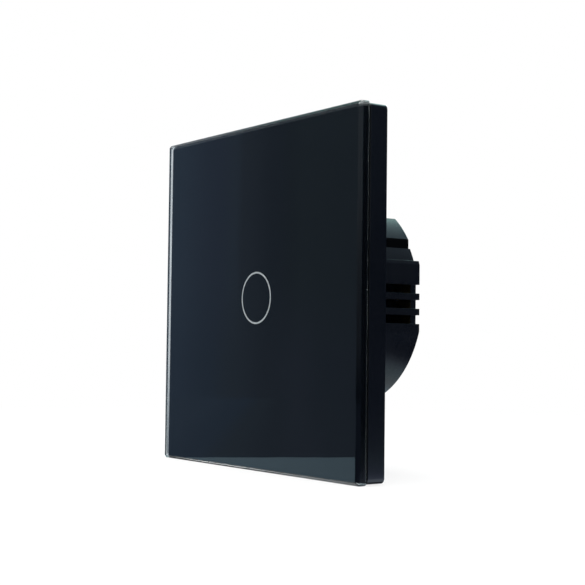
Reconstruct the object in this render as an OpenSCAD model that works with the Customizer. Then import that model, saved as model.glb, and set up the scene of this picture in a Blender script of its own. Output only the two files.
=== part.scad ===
// Touch light switch: a square glass panel on a frame that clips to a steel yoke,
// with a round base behind it that sits in a wall box.
// Front faces -Y and up is +Z. y = 0 is the wall plane, at the rear face of the yoke.

/* [Glass panel] */
// Width and height of the square glass
panel_size = 80; // [76:1:90]
// Thickness of the glass
glass_t = 2.4; // [2:0.1:4]
// Width of the ground bevel along the front edges
glass_bevel = 0.7; // [0.3:0.1:0.9]
// Radius of the corners of the glass
glass_corner_r = 1; // [1:0.1:4]
// Thickness of the black ink behind the glass
print_t = 0.1; // [0.05:0.05:0.2]
// Clear margin of the glass round the black ink
print_margin = 1; // [0.5:0.1:2]
// Outer diameter of the light ring
ring_d = 12.1; // [8:0.1:16]
// Width of the ring's line
ring_line = 0.4; // [0.3:0.1:1]
// Gap between the ring's ink and the black ink
ring_gap = 0.02; // [0.01:0.01:0.05]
// Thickness of the adhesive tape
tape_t = 0.4; // [0.2:0.05:0.5]
// Width of the adhesive tape
tape_w = 5; // [3:0.5:6]
// Step from the edge of the ink in to the tape
tape_inset = 0.2; // [0.1:0.05:0.5]

/* [Panel frame] */
// Step from the edge of the glass in to the frame's side
frame_inset = 0.2; // [0:0.1:1]
// Radius of the frame's outer corners
frame_corner_r = 1.2; // [0.8:0.1:4]
// Thickness of the frame's side wall
frame_wall = 1.7; // [1.2:0.1:2.4]
// Thickness of the ledge that carries the tape
ledge_t = 1.2; // [0.8:0.1:1.4]
// Free space between the sensor cover and the ledge
ledge_gap = 5; // [2:0.5:6]
// Width of a clip tongue
tongue_w = 8; // [5:0.5:12]
// Thickness of a clip tongue
tongue_t = 1.2; // [0.8:0.1:1.6]
// Gap between a tongue and the yoke's tab
tongue_gap = 0.15; // [0.1:0.05:0.4]
// Space for a tongue to flex towards the frame's wall
tongue_room = 1.75; // [0.5:0.05:3]
// Distance of a tongue from the middle of its side
tongue_offset = 18; // [12:0.5:24]
// Width of the notch for prying the panel off
pry_w = 12; // [6:0.5:20]
// Depth of that notch from the wall
pry_depth = 1.4; // [0.8:0.1:2]

/* [Yoke] */
// Thickness of the yoke's steel sheet
yoke_t = 1; // [0.8:0.1:1.5]
// Radius of the yoke's corners
yoke_corner_r = 3; // [1:0.5:6]
// Distance between the wall box screws
box_spacing = 60; // [58:0.5:62]
// Width of a slot for a wall box screw
slot_w = 4; // [3.5:0.1:5]
// Length of a slot for a wall box screw
slot_l = 7; // [6:0.5:7]
// Gap between the base and the yoke's round opening
yoke_gap = 0.3; // [0.2:0.05:0.6]
// Inside radius of the fold of a tab
bend_r = 0.5; // [0.3:0.1:0.8]
// Width of the relief cut beside a fold
relief_w = 0.6; // [0.4:0.1:1]
// Width of the window in a tab
window_w = 4; // [2:0.5:5]
// Height of the window in a tab
window_h = 0.8; // [0.4:0.1:0.9]
// Gap between a tab's edge and the ledge
tab_gap = 0.3; // [0.2:0.05:0.5]

/* [Sensor module] */
// Thickness of the base's front flange
flange_t = 1.2; // [1:0.1:2]
// Height of the pads under the touch board
pad_t = 0.3; // [0.2:0.1:0.6]
// Thickness of the touch board
touch_board_t = 1; // [0.8:0.1:1.6]
// Thickness of the sensing pad
electrode_t = 0.1; // [0.05:0.05:0.2]
// Width of the sensing pad
electrode_w = 5; // [2:0.5:8]
// Thickness of the sensor cover's front
cover_t = 1; // [0.8:0.1:1.5]
// Thickness of the sensor cover's side wall
cover_wall = 1.2; // [0.8:0.1:1.5]
// Radius of the cover's and the flange's corners
cover_corner_r = 3; // [2:0.5:5]
// Gap between the cover and the ink behind the glass
cover_gap = 0.3; // [0.1:0.05:0.6]
// Space between a flange screw's head and the cover's wall
cover_margin = 2.7; // [1.5:0.1:4]
// Gap between the touch board and the cover's wall
touch_board_fit = 0.8; // [0.3:0.1:1.2]
// Space round the light ring that the window leaves
window_margin = 0.7; // [0.4:0.1:1.5]
// Gap round the light guide
guide_fit = 0.2; // [0.1:0.05:0.3]
// Width of the light guide's lip
guide_lip = 1.2; // [0.8:0.1:2]
// Thickness of the light guide's lip
guide_lip_t = 0.5; // [0.3:0.05:0.6]
// Length of an indicator light
led_l = 1.6; // [1:0.1:2]
// Width of an indicator light
led_w = 0.8; // [0.5:0.1:1.2]
// Height of an indicator light
led_h = 0.5; // [0.3:0.05:0.55]
// Width of a cover hook
hook_w = 5; // [3:0.5:8]
// Thickness of a cover hook
hook_t = 0.9; // [0.6:0.1:1.2]
// Distance of a hook from the middle of its side
hook_offset = 10; // [6:0.5:14]
// Gap round a hook in its notch
hook_gap = 0.2; // [0.1:0.05:0.4]

/* [Base] */
// Radius of the round base
base_r = 25; // [24:0.25:26]
// Depth of the base behind the wall plane
base_depth = 23.1; // [22:0.1:30]
// Thickness of the base's wall
base_wall = 1.2; // [1:0.1:1.6]
// Thickness of the base's floor
base_floor = 1.6; // [1.2:0.1:2.4]
// Radius of the pads under the touch board
pad_r = 1.2; // [0.8:0.1:1.3]
// Length of the full round collar behind the wall plane
collar_l = 2.5; // [1:0.1:3]
// Depth of the flats on the sides
flat_depth = 1.2; // [0.5:0.1:2]
// Depth of the recess beside the terminal block
recess_step = 1.6; // [1:0.1:2]
// Distance of the recess's ledge below the terminal block
recess_drop = 2; // [1:0.1:3]
// Width of a vent slot
vent_w = 2; // [1:0.1:2.5]
// Distance between vent slots
vent_pitch = 3.5; // [3:0.1:4.5]
// Number of vent slots in a flat
vent_count = 3; // [1:1:3]
// Length of the vent slots
vent_l = 15; // [6:0.5:17]
// Height of the middle vent slot
vent_z = -1.4; // [-2:0.1:1]
// Depth that a vent slot cuts past the wall
vent_relief = 0.1; // [0.05:0.05:0.3]
// Radius of a pillar for a board screw
pillar_r = 2; // [1.8:0.1:2.2]
// Distance of a pillar's axis in from the base's inside
pillar_in = 1.9; // [1.6:0.1:2.2]
// Angle of the pillars below the level of the axis
pillar_angle = 44; // [42:1:46]

/* [Terminals] */
// Distance between terminals
terminal_pitch = 11; // [10:0.5:12]
// Height of the terminal block below the base's radius
block_height = 14.4; // [13.4:0.1:15]
// Step of the terminal block's round sides in from the base's radius
block_step = 0.6; // [0:0.1:1.2]
// Depth of the terminal block's flat top below the base's radius
block_flat = 6; // [5:0.1:6.2]
// Step of the terminal block's rear face in from the base's
block_rear_step = 0.3; // [0.1:0.1:1]
// Wall between an outer cage and the block's side
block_side = 5.85; // [3:0.05:6]
// Wall in front of the cages
block_front_t = 2; // [1:0.1:3]
// Gap between the terminal block and the base
block_fit = 0.1; // [0.05:0.05:0.3]
// Width of a clamp cage
cage_w = 6.4; // [6:0.1:7]
// Length of a clamp cage along the wire
cage_l = 5.2; // [4:0.1:5.5]
// Thickness of a cage's sides and jaw
cage_t = 1; // [0.8:0.1:1.1]
// Thickness of a cage's threaded end
cage_nut_t = 1.5; // [1.2:0.1:2]
// Height of a cage above the block's underside
cage_lift = 1.5; // [1.2:0.1:1.8]
// Gap between a cage and its chamber
cage_gap = 0.15; // [0.1:0.05:0.3]
// Travel of a cage
cage_travel = 2; // [1:0.1:2.5]
// Gap left at the end of that travel
cage_end_gap = 0.2; // [0.1:0.05:0.4]
// Space for a wire in an open cage
wire_gap = 3.8; // [3:0.1:4]
// Side of the square wire entry
wire_hole = 3.6; // [2.8:0.1:3.7]
// Width of the step round a wire entry
wire_step = 0.6; // [0.3:0.1:1]
// Radius of a clamp screw's shank
clamp_shank_r = 1.5; // [1.2:0.05:1.7]
// Radius of a clamp screw's head
clamp_head_r = 2.4; // [2.1:0.1:2.6]
// Height of a clamp screw's head
clamp_head_t = 1.4; // [1:0.1:1.7]
// Depth of a clamp screw's pocket
clamp_pocket = 1.8; // [1.8:0.1:2.4]
// Gap round a clamp screw's head
clamp_head_gap = 0.3; // [0.2:0.05:0.4]
// Gap round a clamp screw's shank in its cage
clamp_thread_gap = 0.05; // [0.02:0.01:0.1]
// Gap round a clamp screw's shank in the block
clamp_shank_gap = 0.1; // [0.05:0.01:0.15]
// Thickness of the lip that holds a clamp screw
clamp_lip_t = 1; // [0.6:0.1:1.4]
// Gap under a clamp screw's head
clamp_seat_gap = 0.05; // [0.02:0.01:0.1]
// Width of a terminal bar
bar_w = 4; // [3:0.1:4.2]
// Thickness of a terminal bar
bar_t = 1; // [0.6:0.1:1.2]
// Width of a terminal bar's tail
tail_w = 2.4; // [1.5:0.1:3]
// Gap between a bar and a clamp screw's tip
tip_gap = 0.1; // [0.05:0.05:0.3]
// Gap between a bar and the cage's threaded end
bar_gap = 1.7; // [1:0.1:2]
// Gap round a bar in the base's wall and the board
bar_fit = 0.2; // [0.1:0.05:0.3]

/* [Power board] */
// Thickness of the power board
power_board_t = 1.6; // [1:0.1:2]
// Gap between the power board and the base
power_board_fit = 0.3; // [0.2:0.05:0.6]
// Length of a lead or tail beyond the board
lead_out = 0.8; // [0.4:0.1:1.2]
// Gap between neighbouring parts on the board
part_gap = 0.7; // [0.4:0.1:1]
// Width of the relay
relay_w = 19; // [17:0.5:20]
// Depth of the relay
relay_d = 15.3; // [13:0.1:15.8]
// Height of the relay
relay_h = 15; // [13:0.5:16]
// Gap between the relay and the base's floor
relay_gap = 1.3; // [0.5:0.1:2]
// Height of the relay's foot
relay_foot = 1.5; // [1:0.1:3]
// Step from the relay's foot in to its case
relay_seam = 0.3; // [0.1:0.05:0.5]
// Width of the film capacitor
film_w = 13; // [10:0.5:14]
// Depth of the film capacitor
film_d = 6; // [4:0.5:6]
// Height of the film capacitor
film_h = 11; // [8:0.5:12]
// Diameter of the large electrolytic capacitor
large_cap_d = 8; // [6:0.1:8.5]
// Height of the large electrolytic capacitor
large_cap_h = 12; // [9:0.5:13]
// Diameter of the small electrolytic capacitor
small_cap_d = 6.3; // [5:0.1:7]
// Height of the small electrolytic capacitor
small_cap_h = 11; // [7:0.5:12]
// Width of the crimped groove in a can
groove_w = 1; // [0.5:0.1:1.5]
// Depth of the crimped groove in a can
groove_depth = 0.4; // [0.2:0.05:0.6]
// Diameter of the choke
choke_d = 8; // [6:0.1:8.5]
// Height of the choke
choke_h = 9; // [6:0.5:11]
// Thickness of the choke's end discs
choke_disc_t = 1.4; // [1:0.1:2]
// Step from the choke's end discs in to its winding
choke_sink = 0.8; // [0.4:0.1:1.5]
// Diameter of the varistor
varistor_d = 7; // [5:0.1:8]
// Thickness of the varistor
varistor_t = 3.4; // [2.5:0.1:4]
// Diameter of the fuse resistor
fuse_d = 2.6; // [2:0.1:2.8]
// Length of the fuse resistor
fuse_l = 5; // [4:0.1:5.5]
// Diameter of a component lead
lead_d = 0.6; // [0.5:0.05:0.8]
// Height of a component above the board on its leads
stand_off = 0.6; // [0.3:0.1:1]
// Width of a chip package
chip_w = 5; // [4:0.1:6]
// Depth of a chip package
chip_d = 4; // [3:0.1:5]
// Height of a chip package
chip_h = 1.5; // [1:0.1:1.8]
// Distance of the chips from the middle of the boards
chip_x = 10; // [7:0.5:12]
// Height of the touch controller above the middle
chip_z = 6; // [3:0.5:10]
// Number of legs on each side of a chip
chip_legs = 4; // [2:1:5]
// Width of a chip's leg
chip_leg_w = 0.5; // [0.3:0.05:0.6]
// Thickness of a chip's leg
chip_leg_t = 0.2; // [0.1:0.05:0.3]
// Length of a chip's leg beyond its body
chip_leg_out = 1; // [0.5:0.1:1.5]
// Number of pins between the boards
pin_count = 6; // [4:1:7]
// Distance between pins
pin_pitch = 2.54; // [2:0.01:2.6]
// Width of a pin
pin_w = 0.64; // [0.5:0.02:0.7]
// Gap round a pin in its socket
pin_gap = 0.08; // [0.05:0.01:0.12]
// Width of the pin strip's body
strip_w = 2.5; // [2:0.1:3]
// Height of the pin strip's body
strip_h = 2.5; // [1.5:0.1:2.5]
// Length of a pin inside the socket
pin_reach = 2; // [1:0.1:2.5]

/* [Fixing screws] */
// Radius of a flange screw's shank
flange_screw_r = 1.2; // [1:0.05:1.4]
// Radius of a flange screw's head
flange_head_r = 2.1; // [1.8:0.1:2.4]
// Height of a flange screw's head
flange_head_t = 1; // [0.8:0.1:1.2]
// Length of a flange screw behind the wall plane
flange_screw_out = 1.5; // [0.5:0.1:2.5]
// Sheet between a flange screw and the yoke's opening
screw_edge = 3; // [2.5:0.1:3.5]
// Radius of a board screw's shank
board_screw_r = 0.95; // [0.8:0.05:1.1]
// Radius of a board screw's head
board_head_r = 1.9; // [1.6:0.1:2.2]
// Height of a board screw's head
board_head_t = 1.2; // [0.8:0.1:1.5]
// Length of a board screw inside its pillar
board_screw_l = 4; // [3:0.5:6]
// Gap between a screw and a tapped hole
tap_gap = 0.05; // [0.02:0.01:0.1]
// Gap between a screw and a plain hole
plain_gap = 0.15; // [0.1:0.05:0.3]
// Width of a screw's driver slot
driver_w = 0.7; // [0.5:0.05:0.9]
// Depth of a screw's driver slot
driver_t = 0.6; // [0.3:0.05:0.7]

/* [Hidden] */
$fn = 64;
// A cut runs this far past the face that it opens
over = 0.5;

// Levels along Y, from the wall plane to the front
yoke_front = -yoke_t;
flange_front = yoke_front - flange_t;
touch_board_rear = flange_front - pad_t;
touch_board_front = touch_board_rear - touch_board_t;
cover_inner = touch_board_front - electrode_t;
cover_front = cover_inner - cover_t;
print_rear = cover_front - cover_gap;
glass_rear = print_rear - print_t;
glass_front = glass_rear - glass_t;
ledge_front = print_rear + tape_t;
ledge_rear = ledge_front + ledge_t;
tab_front = ledge_rear + tab_gap;

// Sizes across the front, as half widths
glass_half = panel_size / 2;
frame_half = glass_half - frame_inset;
frame_inner = frame_half - frame_wall;
print_half = glass_half - print_margin;
tape_half = print_half - tape_inset;
yoke_half = frame_inner - tongue_room - tongue_t - tongue_gap;
yoke_open_r = base_r + yoke_gap;
flange_screw_x = (yoke_open_r + screw_edge) / sqrt(2);
cover_half = flange_screw_x + flange_head_r + cover_margin + cover_wall;
cover_inside = cover_half - cover_wall;
touch_board_half = cover_inside - touch_board_fit;
ledge_open = cover_half + ledge_gap;
ring_r = ring_d / 2;
light_r = ring_r + window_margin;
guide_r = light_r - guide_fit;
electrode_r = light_r + guide_lip + guide_fit;

// Base and terminal block, seen from the front
flat_x = base_r - flat_depth;
block_z = base_r - block_height;
block_top = base_r - block_flat;
block_r = base_r - block_step;
block_half = terminal_pitch + cage_w / 2 + cage_gap + block_side;
recess_r = base_r - recess_step;
recess_z = block_z - recess_drop;
shelf_z = block_z - block_fit;
shelf_under = shelf_z - base_wall;
terminal_x = [-terminal_pitch, 0, terminal_pitch];

// Levels along Y of the terminals, from the rear to the front
floor_y = base_depth - base_floor;
block_rear = base_depth - block_rear_step;
pocket_y = block_rear - clamp_pocket;
chamber_rear = pocket_y - clamp_lip_t;
cage_rear = chamber_rear - cage_end_gap - cage_travel;
nut_front = cage_rear - cage_nut_t;
bar_rear = nut_front - bar_gap;
bar_front = bar_rear - bar_t;
jaw_rear = bar_front - wire_gap;
jaw_front = jaw_rear - cage_t;
chamber_front = jaw_front - cage_gap;
block_front = chamber_front - block_front_t;
shelf_front = block_front - block_fit - base_wall;
cage_z = block_z + cage_lift;
cage_top = cage_z + cage_l;
screw_z = cage_z + cage_l / 2;
wire_y = (jaw_rear + bar_front) / 2;

// Power board and the parts on it
power_board_rear = floor_y - relay_h - relay_gap;
power_board_front = power_board_rear - power_board_t;
power_board_top = shelf_under - power_board_fit;
bar_top = power_board_top - bar_t;
tail_z = bar_top - bar_t;
parts_top = tail_z - part_gap;
pillar_x = (base_r - base_wall - pillar_in) * cos(pillar_angle);
pillar_z = -(base_r - base_wall - pillar_in) * sin(pillar_angle);
relay_z = parts_top - relay_d;
beside_relay = relay_w / 2 + part_gap;
below_relay = relay_z - part_gap;
film_z = parts_top - film_w;
large_cap_x = -beside_relay - large_cap_d / 2;
large_cap_z = parts_top - large_cap_d / 2;
small_cap_x = -beside_relay - small_cap_d / 2;
small_cap_z = parts_top - large_cap_d - part_gap - small_cap_d / 2;
choke_z = below_relay - choke_d / 2;
beside_choke = choke_d / 2 + part_gap;
varistor_x = beside_choke + varistor_d / 2;
varistor_z = below_relay - varistor_t / 2;
fuse_reach = fuse_l / 2 + lead_d;
fuse_x = -beside_choke - fuse_reach - lead_d / 2;
fuse_z = below_relay - fuse_d / 2;
strip_l = pin_count * pin_pitch;
strip_z = choke_z;
strip_front = power_board_front - strip_h;

// Shared forms

// Extrudes an outline drawn as seen from the front, from y0 back to y1
module slab(y0, y1) {
    translate([0, y1, 0]) rotate([90, 0, 0]) linear_extrude(y1 - y0) children();
}

// A box between two corners
module box(low, high) {
    translate(low) cube(high - low);
}

// A round bar along Y
module rod(x, z, r, y0, y1) {
    translate([x, y1, z]) rotate([90, 0, 0]) cylinder(r = r, h = y1 - y0);
}

// A square outline with round corners, by its half width
module round_square(half, r) {
    square([2 * half, 2 * (half - r)], center = true);
    square([2 * (half - r), 2 * half], center = true);
    for (sx = [-1, 1], sz = [-1, 1]) translate([sx * (half - r), sz * (half - r)]) circle(r);
}

// The four corners of a square pattern
module at_corners(reach) {
    for (sx = [-1, 1], sz = [-1, 1]) translate([sx * reach, 0, sz * reach]) children();
}

// Two places on each of the four sides, with the child drawn on the +X side
module at_sides(offset_z) {
    for (turn = [0 : 90 : 270], sz = [-1, 1]) {
        rotate([0, turn, 0]) translate([0, 0, sz * offset_z]) children();
    }
}

// Glass panel

// The bevelled front along one pair of edges
module bevel_run() {
    inner = glass_half - glass_bevel;
    bevel_rear = glass_front + glass_bevel;
    rotate([90, 0, 90]) linear_extrude(2 * (glass_half - glass_corner_r), center = true)
        polygon([
            [glass_front, -inner], [glass_front, inner],
            [bevel_rear, glass_half], [bevel_rear, -glass_half]
        ]);
}

module glass_panel() {
    color("#15171c") {
        slab(glass_front + glass_bevel, glass_rear) round_square(glass_half, glass_corner_r);
        for (turn = [0, 90]) rotate([0, turn, 0]) bevel_run();
        at_corners(glass_half - glass_corner_r)
            translate([0, glass_front, 0]) rotate([-90, 0, 0])
                cylinder(h = glass_bevel, r1 = glass_corner_r - glass_bevel, r2 = glass_corner_r);
    }
}

module back_print() {
    color("#0b0c0f") slab(glass_rear, print_rear) {
        difference() {
            square(2 * print_half, center = true);
            circle(ring_r + ring_gap);
        }
        circle(ring_r - ring_line - ring_gap);
    }
}

module touch_ring() {
    color("#c9ced2") slab(glass_rear, print_rear) difference() {
        circle(ring_r);
        circle(ring_r - ring_line);
    }
}

module glass_adhesive() {
    color("#2a2a2c") slab(print_rear, ledge_front) difference() {
        square(2 * tape_half, center = true);
        square(2 * (tape_half - tape_w), center = true);
    }
}

module panel_frame() {
    color("#17181b") {
        difference() {
            slab(ledge_front, 0) round_square(frame_half, frame_corner_r);
            slab(ledge_front - over, over) round_square(ledge_open, cover_corner_r);
            slab(ledge_rear, over) square(2 * frame_inner, center = true);
            box([-pry_w / 2, -pry_depth, -glass_half], [pry_w / 2, over, -frame_inner + over]);
        }
        at_sides(tongue_offset)
            box([yoke_half + tongue_gap, ledge_front, -tongue_w / 2],
                [yoke_half + tongue_gap + tongue_t, yoke_front, tongue_w / 2]);
    }
}

// Sensor module

module sensor_cover() {
    color("#222326") {
        difference() {
            slab(cover_front, flange_front) round_square(cover_half, cover_corner_r);
            slab(cover_inner, flange_front + over)
                round_square(cover_inside, cover_corner_r - cover_wall);
            rod(0, 0, light_r, cover_front - over, cover_inner + over);
            rod(0, 0, light_r + guide_lip, cover_inner - guide_lip_t, cover_inner + over);
        }
        at_hooks()
            box([cover_half - hook_t, flange_front - hook_t, -hook_w / 2],
                [cover_half, yoke_front - hook_gap, hook_w / 2]);
    }
}

// The four hooks of the cover, two on each side
module at_hooks() {
    for (turn = [0, 180], sz = [-1, 1]) {
        rotate([0, turn, 0]) translate([0, 0, sz * hook_offset]) children();
    }
}

// The indicator lights' places behind the ring
module at_leds() {
    for (turn = [0 : 90 : 270]) {
        rotate([0, turn, 0]) translate([ring_r - ring_line / 2, 0, 0]) children();
    }
}

module light_guide() {
    color("#dfe6ea") difference() {
        union() {
            rod(0, 0, guide_r, cover_front, cover_inner);
            rod(0, 0, light_r + guide_lip - guide_fit, cover_inner - guide_lip_t, cover_inner);
        }
        at_leds()
            box([-led_w / 2 - guide_fit, cover_inner - guide_lip_t, -led_l / 2 - guide_fit],
                [led_w / 2 + guide_fit, cover_inner + over, led_l / 2 + guide_fit]);
    }
}

module touch_board() {
    // The corners are cut off to clear the heads of the flange screws
    corner = 2 * flange_screw_x - sqrt(2) * (flange_head_r + touch_board_fit) - touch_board_half;
    cut = min(corner, touch_board_half);
    half = touch_board_half;
    color("#1f6b3a") slab(touch_board_front, touch_board_rear)
        polygon([
            [half, -cut], [half, cut], [cut, half], [-cut, half],
            [-half, cut], [-half, -cut], [-cut, -half], [cut, -half]
        ]);
}

module touch_electrode() {
    color("#b87333") slab(cover_inner, touch_board_front) difference() {
        circle(electrode_r + electrode_w);
        circle(electrode_r);
    }
}

module indicator_leds() {
    color("#f4f1dc") at_leds()
        box([-led_w / 2, touch_board_front - led_h, -led_l / 2],
            [led_w / 2, touch_board_front, led_l / 2]);
}

// A chip package with gull-wing legs, its seat at y0 and its top at y1
module chip(x, z, y0, y1) {
    out = sign(y1 - y0);
    body_y = y0 + out * chip_leg_t;
    translate([x, 0, z]) {
        box([-chip_w / 2, min(body_y, y1), -chip_d / 2], [chip_w / 2, max(body_y, y1), chip_d / 2]);
        for (i = [0 : chip_legs - 1]) {
            leg_x = (i - (chip_legs - 1) / 2) * chip_w / chip_legs;
            leg_y = y0 + out * 2 * chip_leg_t;
            box([leg_x - chip_leg_w / 2, min(y0, leg_y), -chip_d / 2 - chip_leg_out],
                [leg_x + chip_leg_w / 2, max(y0, leg_y), chip_d / 2 + chip_leg_out]);
        }
    }
}

module touch_controller() {
    color("#1b1b1d") chip(0, chip_z, touch_board_rear, touch_board_rear + chip_h);
}

// The pins' places along the strip
module at_pins() {
    for (i = [0 : pin_count - 1]) {
        translate([(i - (pin_count - 1) / 2) * pin_pitch, 0, strip_z]) children();
    }
}

module board_socket() {
    hole = pin_w / 2 + pin_gap;
    color("#18181a") difference() {
        translate([0, 0, strip_z])
            box([-strip_l / 2, touch_board_rear, -strip_w / 2], [strip_l / 2, strip_front, strip_w / 2]);
        at_pins()
            box([-hole, strip_front - pin_reach - pin_gap, -hole], [hole, strip_front + over, hole]);
    }
}

module pin_header() {
    color("#c8a84a") {
        translate([0, 0, strip_z])
            box([-strip_l / 2, strip_front, -strip_w / 2], [strip_l / 2, power_board_front, strip_w / 2]);
        at_pins()
            box([-pin_w / 2, strip_front - pin_reach, -pin_w / 2],
                [pin_w / 2, strip_front + over, pin_w / 2]);
    }
}

// Yoke

// A slot for a wall box screw, long side along X
module slot_outline() {
    square([slot_l - slot_w, slot_w], center = true);
    for (s = [-1, 1]) translate([s * (slot_l - slot_w) / 2, 0]) circle(slot_w / 2);
}

// A tab folded forward from the +X edge, with a window for the tongue's nib
module yoke_tab() {
    fold_x = yoke_half - yoke_t - bend_r;
    fold_y = yoke_front - bend_r;
    window_y = (tab_front + fold_y) / 2;
    difference() {
        linear_extrude(tongue_w, center = true) {
            translate([fold_x, fold_y]) intersection() {
                difference() {
                    circle(bend_r + yoke_t);
                    circle(bend_r);
                }
                square(bend_r + yoke_t);
            }
            translate([yoke_half - yoke_t, tab_front]) square([yoke_t, fold_y - tab_front]);
        }
        translate([yoke_half, window_y, 0]) cube([4 * yoke_t, window_h, window_w], center = true);
    }
}

module yoke() {
    fold_x = yoke_half - yoke_t - bend_r;
    relief = tongue_w / 2 + relief_w;
    color("#b9bcc0") {
        difference() {
            slab(yoke_front, 0) round_square(yoke_half, yoke_corner_r);
            rod(0, 0, yoke_open_r, yoke_front - over, over);
            for (turn = [0 : 90 : 270]) {
                rotate([0, turn, 0]) translate([box_spacing / 2, 0, 0])
                    slab(yoke_front - over, over) slot_outline();
            }
            at_corners(flange_screw_x) rod(0, 0, flange_screw_r + tap_gap, yoke_front - over, over);
            at_sides(tongue_offset)
                box([fold_x, yoke_front - over, -relief], [yoke_half + over, over, relief]);
        }
        at_sides(tongue_offset) yoke_tab();
    }
}

// A pan head with a driver slot, its seat at y0 and its shank running back to y1
module fixing_screw(x, z, shank_r, head_r, head_t, y0, y1) {
    difference() {
        union() {
            rod(x, z, head_r, y0 - head_t, y0);
            rod(x, z, shank_r, y0 - head_t / 2, y1);
        }
        translate([x, y0 - head_t, z]) cube([3 * head_r, 2 * driver_t, driver_w], center = true);
    }
}

module flange_screws() {
    color("#9da1a6") at_corners(flange_screw_x)
        fixing_screw(0, 0, flange_screw_r, flange_head_r, flange_head_t, flange_front, flange_screw_out);
}

// Base

// The base's outline, drawn in by a margin all round
module base_outline(margin) {
    half = flat_x - margin;
    intersection() {
        circle(base_r - margin);
        translate([-half, -base_r]) square([2 * half, base_r + recess_z - margin]);
    }
    circle(recess_r - margin);
}

// The part of an outline below a level
module below(level) {
    intersection() {
        children();
        translate([-base_r, -base_r]) square([2 * base_r, base_r + level]);
    }
}

// The vent slots, which run out at the base's rear rim
module vent_cuts() {
    for (side = [-1, 1], i = [0 : vent_count - 1]) {
        z = vent_z + (i - (vent_count - 1) / 2) * vent_pitch;
        translate([side * (flat_x - base_wall / 2), base_depth - vent_l / 2, z])
            cube([base_wall + 2 * vent_relief, vent_l + 2 * over, vent_w], center = true);
    }
}

module base_cup() {
    pad_x = (base_r - base_wall + pad_r) / sqrt(2);
    color("#26292c") {
        difference() {
            union() {
                slab(flange_front, yoke_front) round_square(cover_half, cover_corner_r);
                at_corners(pad_x) rod(0, 0, pad_r, touch_board_rear, flange_front);
                rod(0, 0, base_r, yoke_front, collar_l);
                slab(yoke_front, base_depth) base_outline(0);
            }
            slab(touch_board_rear - over, shelf_front) base_outline(base_wall);
            slab(touch_board_rear - over, floor_y) below(shelf_under) base_outline(base_wall);
            box([-block_half - block_fit, block_front - block_fit, shelf_z],
                [block_half + block_fit, base_depth + over, base_r + over]);
            for (x = terminal_x) {
                box([x - bar_w / 2 - bar_fit, bar_front - bar_fit, shelf_under - over],
                    [x + bar_w / 2 + bar_fit, bar_rear + bar_fit, shelf_z + over]);
            }
            vent_cuts();
            at_corners(flange_screw_x)
                rod(0, 0, flange_screw_r + plain_gap, flange_front - over, yoke_front + over);
            at_hooks()
                box([cover_half - hook_t - hook_gap, flange_front - over, -hook_w / 2 - hook_gap],
                    [cover_half + over, yoke_front, hook_w / 2 + hook_gap]);
        }
        for (side = [-1, 1]) difference() {
            rod(side * pillar_x, pillar_z, pillar_r, power_board_rear, floor_y + base_floor / 2);
            rod(side * pillar_x, pillar_z, board_screw_r + tap_gap,
                power_board_rear - over, power_board_rear + board_screw_l + over);
        }
    }
}

// Terminals

// The chamber, wire entry and screw pocket of the terminal at x
module terminal_cuts(x) {
    chamber = cage_w / 2 + cage_gap;
    entry = wire_hole / 2;
    mouth = entry + wire_step;
    box([x - chamber, chamber_front, block_z - over], [x + chamber, chamber_rear, cage_top + cage_gap]);
    box([x - entry, wire_y - entry, cage_top], [x + entry, wire_y + entry, block_top + over]);
    box([x - mouth, wire_y - mouth, block_top - wire_step],
        [x + mouth, wire_y + mouth, block_top + over]);
    rod(x, screw_z, clamp_head_r + clamp_head_gap, pocket_y, base_depth);
    rod(x, screw_z, clamp_shank_r + clamp_shank_gap, chamber_rear - over, pocket_y + over);
}

module terminal_block() {
    color("#2b2f33") difference() {
        slab(block_front, block_rear) intersection() {
            circle(block_r);
            translate([-block_half, block_z]) square([2 * block_half, block_top - block_z]);
        }
        for (x = terminal_x) terminal_cuts(x);
    }
}

module terminal_bar(x) {
    color("#c9a24a") {
        box([x - bar_w / 2, bar_front, tail_z], [x + bar_w / 2, bar_rear, cage_top]);
        box([x - tail_w / 2, power_board_front - lead_out, tail_z], [x + tail_w / 2, bar_rear, bar_top]);
    }
}

module terminal_screw(x) {
    head_y = pocket_y + clamp_seat_gap;
    head_rear = head_y + clamp_head_t;
    color("#c4c7c9") difference() {
        union() {
            rod(x, screw_z, clamp_head_r, head_y, head_rear);
            rod(x, screw_z, clamp_shank_r, bar_rear + tip_gap, head_y + clamp_head_t / 2);
        }
        translate([x, head_rear, screw_z]) cube([3 * clamp_head_r, 2 * driver_t, driver_w], center = true);
    }
}

module terminal_cage(x) {
    inner = cage_w / 2 - cage_t;
    color("#b7a26a") difference() {
        box([x - cage_w / 2, jaw_front, cage_z], [x + cage_w / 2, cage_rear, cage_top]);
        box([x - inner, jaw_rear, cage_z - over], [x + inner, nut_front, cage_top + over]);
        rod(x, screw_z, clamp_shank_r + clamp_thread_gap, nut_front - over, cage_rear + over);
    }
}

// Power board

module power_board() {
    color("#1f6b3a") difference() {
        slab(power_board_front, power_board_rear)
            below(power_board_top) base_outline(base_wall + power_board_fit);
        for (side = [-1, 1]) {
            rod(side * pillar_x, pillar_z, board_screw_r + plain_gap,
                power_board_front - over, power_board_rear + over);
        }
        for (x = terminal_x) {
            box([x - tail_w / 2 - bar_fit, power_board_front - over, tail_z - bar_fit],
                [x + tail_w / 2 + bar_fit, power_board_rear + over, bar_top + bar_fit]);
        }
    }
}

module board_screws() {
    color("#9da1a6") for (side = [-1, 1]) {
        fixing_screw(side * pillar_x, pillar_z, board_screw_r, board_head_r, board_head_t,
            power_board_front, power_board_rear + board_screw_l);
    }
}

// A wire lead from the board back to y1
module lead(x, z, y1) {
    rod(x, z, lead_d / 2, power_board_rear, y1);
}

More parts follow.
